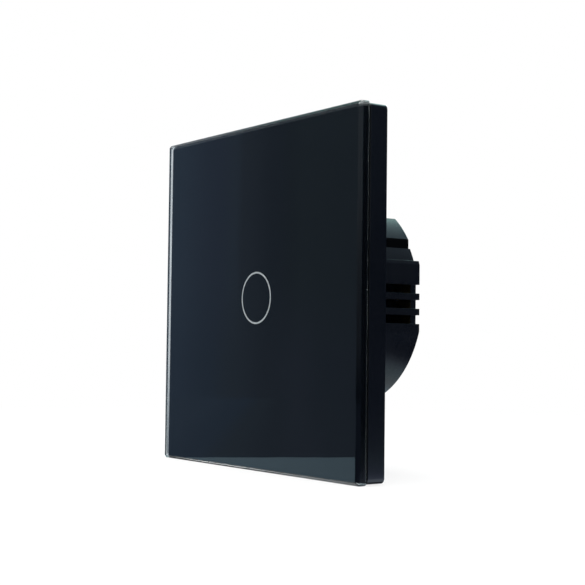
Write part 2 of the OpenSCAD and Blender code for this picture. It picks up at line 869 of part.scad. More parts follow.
module relay() {
    seam_y = power_board_rear + relay_foot;
    color("#2d5fa8") translate([0, 0, relay_z + relay_d / 2]) {
        slab(power_board_rear, seam_y) square([relay_w, relay_d], center = true);
        slab(seam_y, power_board_rear + relay_h)
            square([relay_w - 2 * relay_seam, relay_d - 2 * relay_seam], center = true);
    }
}

module film_capacitor() {
    base_y = power_board_rear + stand_off;
    color("#c8b23a") {
        box([beside_relay, base_y, film_z],
            [beside_relay + film_d, power_board_rear + film_h, parts_top]);
        for (z = [film_z + film_d / 2, parts_top - film_d / 2]) {
            lead(beside_relay + film_d / 2, z, base_y + over);
        }
    }
}

// A can with a crimped groove near the board
module electrolytic(x, z, d, h) {
    groove_y = power_board_rear + groove_w;
    difference() {
        rod(x, z, d / 2, power_board_rear, power_board_rear + h);
        difference() {
            rod(x, z, d, groove_y, groove_y + groove_w);
            rod(x, z, d / 2 - groove_depth, groove_y - over, groove_y + groove_w + over);
        }
    }
}

module electrolytic_large() {
    color("#20222a") electrolytic(large_cap_x, large_cap_z, large_cap_d, large_cap_h);
}

module electrolytic_small() {
    color("#20222a") electrolytic(small_cap_x, small_cap_z, small_cap_d, small_cap_h);
}

module choke() {
    rear_y = power_board_rear + choke_h;
    winding_r = choke_d / 2 - choke_sink;
    color("#7a4a2a") {
        rod(0, choke_z, choke_d / 2, power_board_rear, power_board_rear + choke_disc_t);
        rod(0, choke_z, winding_r, power_board_rear + choke_disc_t / 2, rear_y - choke_disc_t / 2);
        rod(0, choke_z, choke_d / 2, rear_y - choke_disc_t, rear_y);
    }
}

module varistor() {
    disc_y = power_board_rear + stand_off + varistor_d / 2;
    color("#2f4f9a") {
        translate([varistor_x, disc_y, varistor_z])
            cylinder(d = varistor_d, h = varistor_t, center = true);
        for (side = [-1, 1]) lead(varistor_x + side * varistor_d / 4, varistor_z, disc_y);
    }
}

module fuse_resistor() {
    axis_y = power_board_rear + stand_off + fuse_d / 2;
    color("#4d7f6d") {
        translate([fuse_x, axis_y, fuse_z]) rotate([0, 90, 0]) {
            cylinder(d = fuse_d, h = fuse_l, center = true);
            cylinder(d = lead_d, h = 2 * fuse_reach + lead_d, center = true);
        }
        for (side = [-1, 1]) lead(fuse_x + side * fuse_reach, fuse_z, axis_y);
    }
}

module bridge_rectifier() {
    color("#1b1b1d") chip(-chip_x, 0, power_board_front, power_board_front - chip_h);
}

module regulator() {
    color("#1b1b1d") chip(chip_x, 0, power_board_front, power_board_front - chip_h);
}

// The whole switch, or one sub-part of it
glass_panel();
back_print();
touch_ring();
glass_adhesive();
panel_frame();
sensor_cover();
light_guide();
touch_board();
touch_electrode();
indicator_leds();
touch_controller();
board_socket();
pin_header();
yoke();
flange_screws();
base_cup();
terminal_block();
terminal_bar(terminal_x[0]);  // terminal_bar_1
terminal_bar(terminal_x[1]);  // terminal_bar_2
terminal_bar(terminal_x[2]);  // terminal_bar_3
power_board();
board_screws();
relay();
film_capacitor();
electrolytic_large();
electrolytic_small();
choke();
varistor();
fuse_resistor();
bridge_rectifier();
regulator();
terminal_screw(terminal_x[0]);  // terminal_screw_1
terminal_screw(terminal_x[1]);  // terminal_screw_2
terminal_screw(terminal_x[2]);  // terminal_screw_3
terminal_cage(terminal_x[0]);  // terminal_cage_1
terminal_cage(terminal_x[1]);  // terminal_cage_2
terminal_cage(terminal_x[2]);  // terminal_cage_3
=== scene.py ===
"""Looks of a touch light switch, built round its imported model: base, terminals, boards, yoke and glass."""
import math

import bmesh
import bpy
from mathutils import Matrix, Vector


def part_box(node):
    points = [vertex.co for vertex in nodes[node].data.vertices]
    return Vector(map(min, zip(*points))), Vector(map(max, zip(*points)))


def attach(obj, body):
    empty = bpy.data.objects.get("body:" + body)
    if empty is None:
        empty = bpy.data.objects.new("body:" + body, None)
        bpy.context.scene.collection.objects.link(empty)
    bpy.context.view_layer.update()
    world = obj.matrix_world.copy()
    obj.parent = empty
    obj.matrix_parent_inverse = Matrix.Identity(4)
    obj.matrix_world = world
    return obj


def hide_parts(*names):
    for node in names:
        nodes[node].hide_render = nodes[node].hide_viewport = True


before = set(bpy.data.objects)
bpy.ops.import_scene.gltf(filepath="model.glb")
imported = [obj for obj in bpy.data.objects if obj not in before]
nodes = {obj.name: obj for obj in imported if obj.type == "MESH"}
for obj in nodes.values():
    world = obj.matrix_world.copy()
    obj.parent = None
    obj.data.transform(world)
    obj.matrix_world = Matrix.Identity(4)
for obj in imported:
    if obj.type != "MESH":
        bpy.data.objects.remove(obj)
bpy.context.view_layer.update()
scene = bpy.context.scene

# Base cup
# The round housing that sits in the wall box: one injection moulding of black polycarbonate
# with a flange, vent slots, a recess and a floor. Its mould leaves small radii and a satin grain.
MM = 0.001
BASE_BLACK = (0.0014, 0.0018, 0.0028, 1)
BASE_WORN = (0.003, 0.0036, 0.005, 1)
DUST_GREY = (0.32, 0.33, 0.34, 1)
DUST_COVER = 0.5
SPECK_SMALL = 0.03
SPECK_LARGE = 0.1
PIT_TONE = 0.5
SKIN_SHINIER = 0.06
SKIN_DULLER = 0.1
MERGE_WITHIN = 1e-6
FLAT_WITHIN = math.radians(0.6)


def add_piece(name, mesh):
    """Puts a mesh in the scene as a piece at the origin."""
    piece = bpy.data.objects.new(name, mesh)
    scene.collection.objects.link(piece)
    return piece


def made_plain(piece):
    """Turns what a piece's modifiers make into its own plain mesh."""
    graph = bpy.context.evaluated_depsgraph_get()
    mesh = bpy.data.meshes.new_from_object(piece.evaluated_get(graph), depsgraph=graph)
    piece.modifiers.clear()
    old = piece.data
    piece.data = mesh
    bpy.data.meshes.remove(old)
    mesh.name = piece.name
    return piece


def settle(piece):
    """Shades a piece smooth with its large faces kept flat, and makes it plain."""
    piece.data.shade_smooth()
    weigh = piece.modifiers.new("Flat faces", "WEIGHTED_NORMAL")
    weigh.mode = "FACE_AREA"
    weigh.weight = 100
    weigh.keep_sharp = True
    return made_plain(piece)


def softened(node, name, radius, steps=2, corner=32):
    """A merged copy of a CAD node with its edges rounded to a radius in millimetres."""
    shell = bmesh.new()
    shell.from_mesh(nodes[node].data)
    bmesh.ops.remove_doubles(shell, verts=shell.verts, dist=MERGE_WITHIN)
    bmesh.ops.dissolve_limit(shell, angle_limit=FLAT_WITHIN, verts=shell.verts, edges=shell.edges)
    for edge in shell.edges:
        if len(edge.link_faces) == 2 and edge.calc_face_angle() > math.radians(corner):
            edge.smooth = False
    mesh = bpy.data.meshes.new(name)
    shell.to_mesh(mesh)
    shell.free()
    mesh.materials.clear()
    piece = add_piece(name, mesh)
    bevel = piece.modifiers.new("Edges", "BEVEL")
    bevel.width = radius * MM
    bevel.segments = steps
    bevel.limit_method = "ANGLE"
    bevel.angle_limit = math.radians(corner)
    bevel.use_clamp_overlap = True
    bevel.miter_outer = "MITER_SHARP"
    return settle(piece)


def add_node(tree, kind, **settings):
    """Adds a node to a tree and sets its properties."""
    node = tree.nodes.new(kind)
    for key, value in settings.items():
        setattr(node, key, value)
    return node


def new_group(name, inputs, outputs):
    """Starts a shader node group with named sockets and gives its tree, its start and its end."""
    tree = bpy.data.node_groups.new(name, "ShaderNodeTree")
    for label, kind, value in inputs:
        socket = tree.interface.new_socket(label, in_out="INPUT", socket_type=kind)
        if value is not None:
            socket.default_value = value
    for label, kind in outputs:
        tree.interface.new_socket(label, in_out="OUTPUT", socket_type=kind)
    start = add_node(tree, "NodeGroupInput")
    end = add_node(tree, "NodeGroupOutput")
    return tree, start, end


def maths(tree, operation, first, second=None):
    """A maths node on two sockets or numbers, as its output."""
    node = add_node(tree, "ShaderNodeMath", operation=operation)
    for socket, value in zip(node.inputs, (first, second)):
        if isinstance(value, (int, float)):
            socket.default_value = value
        elif value is not None:
            tree.links.new(value, socket)
    return node.outputs[0]


def spread(tree, value, low, high):
    """Maps a value from 0..1 to low..high, as an output."""
    node = add_node(tree, "ShaderNodeMapRange")
    tree.links.new(value, node.inputs["Value"])
    node.inputs["To Min"].default_value = low
    node.inputs["To Max"].default_value = high
    return node.outputs["Result"]


def noise(tree, vector, scale, detail=2.0):
    """A noise texture on a vector, at a scale per metre given by a number or a socket."""
    node = add_node(tree, "ShaderNodeTexNoise")
    node.inputs["Detail"].default_value = detail
    tree.links.new(vector, node.inputs["Vector"])
    if isinstance(scale, (int, float)):
        node.inputs["Scale"].default_value = scale
    else:
        tree.links.new(scale, node.inputs["Scale"])
    return node.outputs["Fac"]


def make_grain_group():
    """The grain of a moulded face: fine pits of the eroded mould and slow waves of the cooling skin."""
    tree, start, end = new_group(
        "Moulded grain",
        [("Vector", "NodeSocketVector", None), ("Grain Scale", "NodeSocketFloat", 9000.0),
         ("Wave Scale", "NodeSocketFloat", 160.0), ("Wave Share", "NodeSocketFloat", 0.4)],
        [("Height", "NodeSocketFloat"), ("Tone", "NodeSocketFloat")],
    )
    vector = start.outputs["Vector"]
    pits = noise(tree, vector, start.outputs["Grain Scale"], detail=1.0)
    waves = noise(tree, vector, start.outputs["Wave Scale"], detail=3.0)
    blend = add_node(tree, "ShaderNodeMix")
    tree.links.new(start.outputs["Wave Share"], blend.inputs["Factor"])
    tree.links.new(pits, blend.inputs["A"])
    tree.links.new(waves, blend.inputs["B"])
    tree.links.new(blend.outputs["Result"], end.inputs["Height"])
    tree.links.new(maths(tree, "MULTIPLY", waves, maths(tree, "ADD", pits, PIT_TONE)), end.inputs["Tone"])
    return tree


def make_dust_group():
    """Dust and lint: small round specks, each with its own size, on a share of the cells."""
    tree, start, end = new_group(
        "Dust specks",
        [("Vector", "NodeSocketVector", None), ("Scale", "NodeSocketFloat", 600.0),
         ("Amount", "NodeSocketFloat", 0.1)],
        [("Mask", "NodeSocketFloat")],
    )
    cells = add_node(tree, "ShaderNodeTexVoronoi")
    tree.links.new(start.outputs["Vector"], cells.inputs["Vector"])
    tree.links.new(start.outputs["Scale"], cells.inputs["Scale"])
    draw = add_node(tree, "ShaderNodeSeparateColor")
    tree.links.new(cells.outputs["Color"], draw.inputs["Color"])
    chosen = maths(tree, "LESS_THAN", draw.outputs["Red"], start.outputs["Amount"])
    size = spread(tree, draw.outputs["Green"], SPECK_SMALL, SPECK_LARGE)
    near = maths(tree, "SUBTRACT", 1.0, maths(tree, "DIVIDE", cells.outputs["Distance"], size))
    soft = maths(tree, "MAXIMUM", near, 0.0)
    tree.links.new(maths(tree, "MULTIPLY", soft, chosen), end.inputs["Mask"])
    return tree


grain_group = make_grain_group()
dust_group = make_dust_group()


def place_group(tree, group, vector, **values):
    """Places a node group in a tree on a vector, with its named inputs set."""
    node = add_node(tree, "ShaderNodeGroup", node_tree=group)
    tree.links.new(vector, node.inputs["Vector"])
    for label, value in values.items():
        node.inputs[label.replace("_", " ")].default_value = value
    return node


def new_material(name):
    """A material with its tree, its shader and the object coordinates."""
    material = bpy.data.materials.new(name)
    material.use_nodes = True
    tree = material.node_tree
    shader = tree.nodes["Principled BSDF"]
    place = add_node(tree, "ShaderNodeTexCoord").outputs["Object"]
    return material, tree, shader, place


def two_tone(tree, factor, first, second):
    """A colour mix of two fixed colours or sockets by a factor, as an output."""
    node = add_node(tree, "ShaderNodeMix", data_type="RGBA")
    tree.links.new(factor, node.inputs["Factor"])
    for socket, value in ((node.inputs[6], first), (node.inputs[7], second)):
        if isinstance(value, tuple):
            socket.default_value = value
        else:
            tree.links.new(value, socket)
    return node.outputs[2]


def bump(tree, shader, height, distance, strength=1.0):
    """Feeds a height in metres to a shader's normal."""
    node = add_node(tree, "ShaderNodeBump")
    node.inputs["Strength"].default_value = strength
    node.inputs["Distance"].default_value = distance
    tree.links.new(height, node.inputs["Height"])
    tree.links.new(node.outputs["Normal"], shader.inputs["Normal"])


def moulded(name, colour, worn, gloss, grain, depth, wave=0.4, dust=0.08):
    """A moulded or coated finish: two close tones, a grain, a spread of gloss and some dust."""
    material, tree, shader, place = new_material(name)
    skin = place_group(tree, grain_group, place, Grain_Scale=grain, Wave_Share=wave)
    specks = place_group(tree, dust_group, place, Amount=dust)
    tone = two_tone(tree, skin.outputs["Tone"], colour, worn)
    shade = two_tone(tree, maths(tree, "MULTIPLY", specks.outputs["Mask"], DUST_COVER), tone, DUST_GREY)
    tree.links.new(shade, shader.inputs["Base Color"])
    matt = spread(tree, skin.outputs["Tone"], gloss - SKIN_SHINIER, gloss + SKIN_DULLER)
    tree.links.new(maths(tree, "ADD", matt, specks.outputs["Mask"]), shader.inputs["Roughness"])
    bump(tree, shader, skin.outputs["Height"], depth * MM)
    return material


def dress(piece, material, slot, body, *replaced):
    """Gives a piece its material if it has none, and its body, and hides the nodes that it stands for. The
    slot is not used.
    """
    if not piece.data.materials:
        piece.data.materials.append(material)
    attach(piece, body)
    if replaced:
        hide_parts(*replaced)


base_finish = moulded("base_plastic_satin", BASE_BLACK, BASE_WORN, gloss=0.27, grain=7000.0, depth=0.003)
base = softened("base_cup", "base_housing", radius=0.25)
dress(base, base_finish, "base_plastic", "switch_body", "base_cup")

# Terminal block
# The insulating moulding in the top of the base that holds the clamps, of glass-filled polyamide.
# It snaps into the base from above. Its two flanks are matt, and their colour is painted shade, far darker
# than the rest.
BLOCK_GREY = (0.0016, 0.0022, 0.003, 1)
BLOCK_WORN = (0.0035, 0.0045, 0.0055, 1)
# Painted shade: the flanks' two tones, far darker than the block's own.
FLANK_SHADE_BLACK = (0.0003, 0.0006, 0.001, 1)
FLANK_SHADE_WORN = (0.0007, 0.0012, 0.0018, 1)
FLANK_SHINE = 0.05
FLANK_DEPTH = 0.1


def set_all_over(material, label, value):
    """Sets a number or colour of a finish that is the same all over."""
    material.node_tree.nodes["Principled BSDF"].inputs[label].default_value = value


block_finish = moulded("block_polyamide", BLOCK_GREY, BLOCK_WORN, gloss=0.27, grain=5200.0, depth=0.003)
# The flank finish is painted shade: it is darker than the block and reflects little.
flank_shade_finish = moulded(
    "block_flank_matt", FLANK_SHADE_BLACK, FLANK_SHADE_WORN, gloss=0.75, grain=5200.0, depth=0.003, dust=0.0
)
set_all_over(flank_shade_finish, "Specular IOR Level", FLANK_SHINE)
block = softened("terminal_block", "terminal_housing", radius=0.2)
block.data.materials.append(block_finish)
block.data.materials.append(flank_shade_finish)
flank_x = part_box("terminal_block")[1].x - FLANK_DEPTH * MM
for face in block.data.polygons:
    if abs(face.center.x) > flank_x:
        face.material_index = 1
dress(block, block_finish, "block_plastic", "switch_body", "terminal_block")

# Terminal bars
# Brass strips bent from the board up into the clamps, stamped from rolled sheet, so they carry
# fine marks of the rolls along their length and a thin brown tarnish.
BRASS = (0.62, 0.43, 0.16, 1)
BRASS_TARNISH = (0.4, 0.25, 0.1, 1)
TARNISH_SCALE = 420.0
LINE_TONE = 0.4
METAL_SHINIER = 0.08
METAL_DULLER = 0.16


def make_rolled_group():
    """Rolled or drawn metal: fine lines along one direction and a cloudy tarnish."""
    tree, start, end = new_group(
        "Rolled metal",
        [("Vector", "NodeSocketVector", None), ("Stretch", "NodeSocketVector", (9000.0, 9000.0, 500.0))],
        [("Height", "NodeSocketFloat"), ("Tone", "NodeSocketFloat")],
    )
    scaled = add_node(tree, "ShaderNodeVectorMath", operation="MULTIPLY")
    tree.links.new(start.outputs["Vector"], scaled.inputs[0])
    tree.links.new(start.outputs["Stretch"], scaled.inputs[1])
    lines = noise(tree, scaled.outputs["Vector"], 1.0)
    clouds = noise(tree, start.outputs["Vector"], TARNISH_SCALE, detail=4.0)
    tree.links.new(lines, end.inputs["Height"])
    tree.links.new(maths(tree, "MULTIPLY", clouds, maths(tree, "ADD", lines, LINE_TONE)), end.inputs["Tone"])
    return tree


rolled_group = make_rolled_group()


def rolled(name, colour, tarnish, gloss, stretch, depth):
    """A metal finish with rolled lines: two tones, a spread of gloss and a fine relief."""
    material, tree, shader, place = new_material(name)
    sheet = place_group(tree, rolled_group, place, Stretch=stretch)
    tree.links.new(two_tone(tree, sheet.outputs["Tone"], colour, tarnish), shader.inputs["Base Color"])
    shader.inputs["Metallic"].default_value = 1.0
    matt = spread(tree, sheet.outputs["Tone"], gloss - METAL_SHINIER, gloss + METAL_DULLER)
    tree.links.new(matt, shader.inputs["Roughness"])
    bump(tree, shader, sheet.outputs["Height"], depth * MM)
    return material


brass_finish = rolled(
    "brass_sheet", BRASS, BRASS_TARNISH, gloss=0.3, stretch=(9000.0, 9000.0, 400.0), depth=0.003
)
for count in (1, 2, 3):
    bar = softened(f"terminal_bar_{count}", f"terminal_strip_{count}", radius=0.1)
    dress(bar, brass_finish, "bar_brass", "switch_body", f"terminal_bar_{count}")

# Clamp cages
# Steel boxes that rise as their screws are turned, folded from strip and plated with
# yellow zinc. Each rides in its own chamber of the block.
ZINC_YELLOW = (0.52, 0.47, 0.32, 1)
ZINC_DULL = (0.36, 0.33, 0.24, 1)
cage_finish = rolled(
    "cage_zinc", ZINC_YELLOW, ZINC_DULL, gloss=0.34, stretch=(900.0, 7000.0, 7000.0), depth=0.003
)
for count in (1, 2, 3):
    cage = softened(f"terminal_cage_{count}", f"clamp_cage_{count}", radius=0.15)
    dress(cage, cage_finish, "cage_steel", f"terminal_cage_{count}", f"terminal_cage_{count}")

# Clamp screws
# Captive slotted screws, turned from steel and plated bright, with a pan head at the rear and a
# thread down to the bar. One tree of nodes sets screws out in rows, here one in each body.
STEEL_BRIGHT = (0.6, 0.61, 0.62, 1)
STEEL_DULL = (0.4, 0.41, 0.42, 1)
CLAMP_HEAD_R = 2.4
CLAMP_HEAD_T = 1.4
CLAMP_SHANK_R = 1.5
SCREW_FACETS = 40
SCREW_SEED = 7
DOME_SHARE = 0.3
DOME_STEPS = 6
HEAD_EDGE = 0.08
THREAD_STEPS = 6
THREAD_SHARE = 0.14
CREST_WIDTH = 1.6
TIP_LENGTH = 0.4
TIP_SHARE = 0.25
CUTTER_REACH = 3


def thread_wave(phase):
    """The height of a thread's flank from 0 at the root to 1 at the crest, over one turn."""
    return min(1.0, CREST_WIDTH * (1.0 - abs(2.0 * (phase % 1.0) - 1.0)))


def turned_ring(solid, radii, y):
    """A ring of points round Y at a depth, from the radius of each facet, in millimetres."""
    ring = []
    for facet, r in enumerate(radii):
        turn = 2 * math.pi * facet / SCREW_FACETS
        ring.append(solid.verts.new((r * math.cos(turn) * MM, y * MM, r * math.sin(turn) * MM)))
    return ring


def bridge(solid, near, far):
    """A closed band of faces between two rings of as many points, as a list."""
    faces = []
    for step in range(len(near)):
        after = (step + 1) % len(near)
        faces.append(solid.faces.new((near[step], near[after], far[after], far[step])))
    return faces


def screw_mesh(name, head_r, head_t, shank_r, shank_l, pitch, slot_w, slot_t):
    """A slotted pan-head screw along Y in millimetres: seat at 0, head to -Y and thread to +Y."""
    dome = head_r * DOME_SHARE
    outline = []
    for step in range(DOME_STEPS + 1):
        angle = math.radians(90 * step / DOME_STEPS)
        outline.append((head_r - dome + dome * math.sin(angle), -head_t + dome * (1 - math.cos(angle))))
    outline.append((head_r, -HEAD_EDGE))
    outline.append((head_r - HEAD_EDGE, 0.0))
    outline.append((shank_r, 0.0))
    solid = bmesh.new()
    rings = [turned_ring(solid, [r] * SCREW_FACETS, y) for r, y in outline]
    rows = int(shank_l / pitch * THREAD_STEPS)
    root = THREAD_SHARE * shank_r
    for row in range(1, rows + 1):
        y = shank_l * row / rows
        taper = max(0.0, (y - shank_l + TIP_LENGTH) / TIP_LENGTH) * TIP_SHARE * shank_r
        radii = []
        for facet in range(SCREW_FACETS):
            cut = root * (1 - thread_wave(y / pitch + facet / SCREW_FACETS))
            radii.append(shank_r - cut - taper)
        rings.append(turned_ring(solid, radii, y))
    for near, far in zip(rings, rings[1:]):
        bridge(solid, near, far)
    solid.faces.new(rings[0])
    solid.faces.new(rings[-1])
    bmesh.ops.recalc_face_normals(solid, faces=solid.faces)
    mesh = bpy.data.meshes.new(name)
    solid.to_mesh(mesh)
    solid.free()
    piece = add_piece(name, mesh)
    cutter_mesh = bpy.data.meshes.new(name + "_slot")
    cutter_solid = bmesh.new()
    bmesh.ops.create_cube(cutter_solid, size=1.0)
    cutter_solid.to_mesh(cutter_mesh)
    cutter_solid.free()
    size = Matrix.Diagonal((CUTTER_REACH * head_r * MM, 2 * slot_t * MM, slot_w * MM, 1.0))
    cutter_mesh.transform(Matrix.Translation((0, -head_t * MM, 0)) @ size)
    cutter = add_piece(name + "_slot", cutter_mesh)
    slot = piece.modifiers.new("Slot", "BOOLEAN")
    slot.object = cutter
    slot.operation = "DIFFERENCE"
    slot.solver = "EXACT"
    bpy.context.view_layer.update()
    settle(piece)
    bpy.data.objects.remove(cutter)
    bpy.data.meshes.remove(cutter_mesh)
    return piece


def new_maker(name, inputs):
    """Starts a tree of geometry nodes with named inputs, and gives the tree, its start and its link call."""
    tree = bpy.data.node_groups.new(name, "GeometryNodeTree")
    tree.interface.new_socket("Geometry", in_out="INPUT", socket_type="NodeSocketGeometry")
    for label, kind in inputs:
        tree.interface.new_socket(label, in_out="INPUT", socket_type=kind)
    tree.interface.new_socket("Geometry", in_out="OUTPUT", socket_type="NodeSocketGeometry")
    return tree, add_node(tree, "NodeGroupInput"), tree.links.new


def close_maker(tree, start, geometry):
    """Ends such a tree: what it makes becomes plain geometry in the finish that the tree is given."""
    real = add_node(tree, "GeometryNodeRealizeInstances")
    tree.links.new(geometry, real.inputs["Geometry"])
    finish = add_node(tree, "GeometryNodeSetMaterial")
    tree.links.new(real.outputs["Geometry"], finish.inputs["Geometry"])
    tree.links.new(start.outputs["Finish"], finish.inputs["Material"])
    end = add_node(tree, "NodeGroupOutput")
    tree.links.new(finish.outputs["Geometry"], end.inputs["Geometry"])
    return tree


def make_screw_tree():
    """Geometry nodes that set a screw out on a grid of seats, each turned by its own angle."""
    tree, start, link = new_maker("Screw pattern", (
        ("Screw", "NodeSocketObject"), ("Columns", "NodeSocketInt"), ("Rows", "NodeSocketInt"),
        ("Width", "NodeSocketFloat"), ("Height", "NodeSocketFloat"), ("Centre", "NodeSocketVector"),
        ("Facing", "NodeSocketFloat"), ("Turn Spread", "NodeSocketFloat"), ("Finish", "NodeSocketMaterial"),
    ))
    grid = add_node(tree, "GeometryNodeMeshGrid")
    link(start.outputs["Width"], grid.inputs["Size X"])
    link(start.outputs["Height"], grid.inputs["Size Y"])
    link(start.outputs["Columns"], grid.inputs["Vertices X"])
    link(start.outputs["Rows"], grid.inputs["Vertices Y"])
    upright = add_node(tree, "GeometryNodeTransform")
    upright.inputs["Rotation"].default_value = (math.pi / 2, 0.0, 0.0)
    link(grid.outputs["Mesh"], upright.inputs["Geometry"])
    link(start.outputs["Centre"], upright.inputs["Translation"])
    turn = add_node(tree, "FunctionNodeRandomValue", data_type="FLOAT")
    turn.inputs["Seed"].default_value = SCREW_SEED
    link(start.outputs["Turn Spread"], turn.inputs[3])
    angles = add_node(tree, "ShaderNodeCombineXYZ")
    link(turn.outputs[1], angles.inputs["Y"])
    link(start.outputs["Facing"], angles.inputs["Z"])
    screw = add_node(tree, "GeometryNodeObjectInfo")
    link(start.outputs["Screw"], screw.inputs["Object"])
    rows = add_node(tree, "GeometryNodeInstanceOnPoints")
    link(upright.outputs["Geometry"], rows.inputs["Points"])
    link(screw.outputs["Geometry"], rows.inputs["Instance"])
    link(angles.outputs["Vector"], rows.inputs["Rotation"])
    return close_maker(tree, start, rows.outputs["Instances"])


screw_tree = make_screw_tree()


def grown(name, tree, **values):
    """Runs a tree of geometry nodes with named inputs set, and gives its result as a plain piece."""
    piece = add_piece(name, bpy.data.meshes.new(name))
    modifier = piece.modifiers.new("Make", "NODES")
    modifier.node_group = tree
    keys = {item.name: item.identifier for item in tree.interface.items_tree if item.in_out == "INPUT"}
    for label, value in values.items():
        modifier[keys[label.replace("_", " ")]] = value
    return made_plain(piece)


clamp_finish = rolled(
    "clamp_steel_bright", STEEL_BRIGHT, STEEL_DULL, gloss=0.26, stretch=(6000.0, 1200.0, 6000.0), depth=0.002
)
clamp_low, clamp_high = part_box("terminal_screw_1")
clamp_seat = clamp_high.y - CLAMP_HEAD_T * MM
clamp_length = (clamp_seat - clamp_low.y) / MM
clamp_master = screw_mesh(
    "clamp_screw_form", CLAMP_HEAD_R, CLAMP_HEAD_T, CLAMP_SHANK_R, clamp_length,
    pitch=0.5, slot_w=0.7, slot_t=0.6,
)
for count in (1, 2, 3):
    low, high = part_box(f"terminal_screw_{count}")
    centre = ((low.x + high.x) / 2, clamp_seat, (low.z + high.z) / 2)
    clamp = grown(
        f"clamp_screw_{count}", screw_tree, Screw=clamp_master, Columns=1, Rows=1, Width=0.0, Height=0.0,
        Centre=centre, Facing=math.pi, Turn_Spread=0.0, Finish=clamp_finish,
    )
    dress(clamp, clamp_finish, "clamp_steel", f"terminal_screw_{count}", f"terminal_screw_{count}")
bpy.data.objects.remove(clamp_master)

# Circuit boards
# The mains board in the base and the touch board behind the glass: glass-fibre laminate with green
# solder mask over copper tracks, which show as a slightly raised and lighter pattern.
MASK_GREEN = (0.012, 0.09, 0.035, 1)
TRACK_GREEN = (0.03, 0.17, 0.07, 1)
TRACK_EDGE = 0.42
TRACK_HEIGHT = 0.03
BOARD_DUST = 0.4
MASK_CLOUDS = 900.0
MASK_SHINY = 0.3
MASK_DULL = 0.46


def coat(node, material):
    """Gives a CAD node a material."""
    slots = nodes[node].material_slots
    if not slots:
        nodes[node].data.materials.append(material)
    for slot in slots:
        slot.material = material


def laminate(name, pitch):
    """Solder mask over tracks that run square to each other at a pitch in millimetres."""
    material, tree, shader, place = new_material(name)
    cells = add_node(tree, "ShaderNodeTexVoronoi", feature="F1", distance="CHEBYCHEV")
    cells.inputs["Scale"].default_value = 1 / (pitch * MM)
    tree.links.new(place, cells.inputs["Vector"])
    track = maths(tree, "GREATER_THAN", cells.outputs["Distance"], TRACK_EDGE)
    specks = place_group(tree, dust_group, place, Amount=0.05)
    shade = two_tone(tree, track, MASK_GREEN, TRACK_GREEN)
    dusted = two_tone(tree, maths(tree, "MULTIPLY", specks.outputs["Mask"], BOARD_DUST), shade, DUST_GREY)
    tree.links.new(dusted, shader.inputs["Base Color"])
    matt = spread(tree, noise(tree, place, MASK_CLOUDS), MASK_SHINY, MASK_DULL)
    tree.links.new(matt, shader.inputs["Roughness"])
    bump(tree, shader, track, TRACK_HEIGHT * MM)
    return material


coat("power_board", laminate("mains_laminate", pitch=2.6))
coat("touch_board", laminate("touch_laminate", pitch=3.4))

# Board screws
# Two small pan-head screws of zinc-plated steel that hold the mains board to the pillars of the
# base. They cut their own thread in the plastic.
BOARD_HEAD_R = 1.9
BOARD_HEAD_T = 1.2
BOARD_SHANK_R = 0.95
TURN_SPREAD = 3.1
screw_finish = rolled(
    "screw_zinc", STEEL_BRIGHT, STEEL_DULL, gloss=0.32, stretch=(5000.0, 1500.0, 5000.0), depth=0.002
)
low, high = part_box("board_screws")
board_seat = low.y + BOARD_HEAD_T * MM
board_master = screw_mesh(
    "board_screw_form", BOARD_HEAD_R, BOARD_HEAD_T, BOARD_SHANK_R, (high.y - board_seat) / MM,
    pitch=0.8, slot_w=0.7, slot_t=0.6,
)
board_screws = grown(
    "board_screw_pair", screw_tree, Screw=board_master, Columns=2, Rows=1,
    Width=high.x - low.x - 2 * BOARD_HEAD_R * MM, Height=0.0, Centre=(0.0, board_seat, (low.z + high.z) / 2),
    Facing=0.0, Turn_Spread=TURN_SPREAD, Finish=screw_finish,
)
dress(board_screws, screw_finish, "screw_steel", "switch_body", "board_screws")
bpy.data.objects.remove(board_master)

# Relay
# The sealed relay that switches the load, in a moulded blue shell soldered to the mains board.
# Its edges are rounded by the mould.
RELAY_BLUE = (0.03, 0.1, 0.3, 1)
RELAY_WORN = (0.05, 0.14, 0.36, 1)
relay_finish = moulded("relay_shell", RELAY_BLUE, RELAY_WORN, gloss=0.36, grain=4000.0, depth=0.004)
relay = softened("relay", "relay_case", radius=0.4)
dress(relay, relay_finish, "relay_plastic", "switch_body", "relay")

# Capacitors
# A film capacitor cast in a yellow plastic case, and two electrolytic cans of rolled aluminium
# with a dark film shrunk over them, all soldered to the mains board.
FILM_YELLOW = (0.5, 0.38, 0.05, 1)
FILM_PALE = (0.62, 0.48, 0.1, 1)
SLEEVE_NAVY = (0.012, 0.014, 0.03, 1)
SLEEVE_WORN = (0.03, 0.032, 0.06, 1)
film_finish = moulded("film_case", FILM_YELLOW, FILM_PALE, gloss=0.3, grain=5000.0, depth=0.003)
film = softened("film_capacitor", "film_capacitor_case", radius=0.5, steps=3)
dress(film, film_finish, "film_plastic", "switch_body", "film_capacitor")
sleeve_finish = moulded("can_sleeve_film", SLEEVE_NAVY, SLEEVE_WORN, gloss=0.22, grain=2500.0, depth=0.002)
for size in ("large", "small"):
    can = softened(f"electrolytic_{size}", f"capacitor_can_{size}", radius=0.25)
    dress(can, sleeve_finish, "can_sleeve", "switch_body", f"electrolytic_{size}")

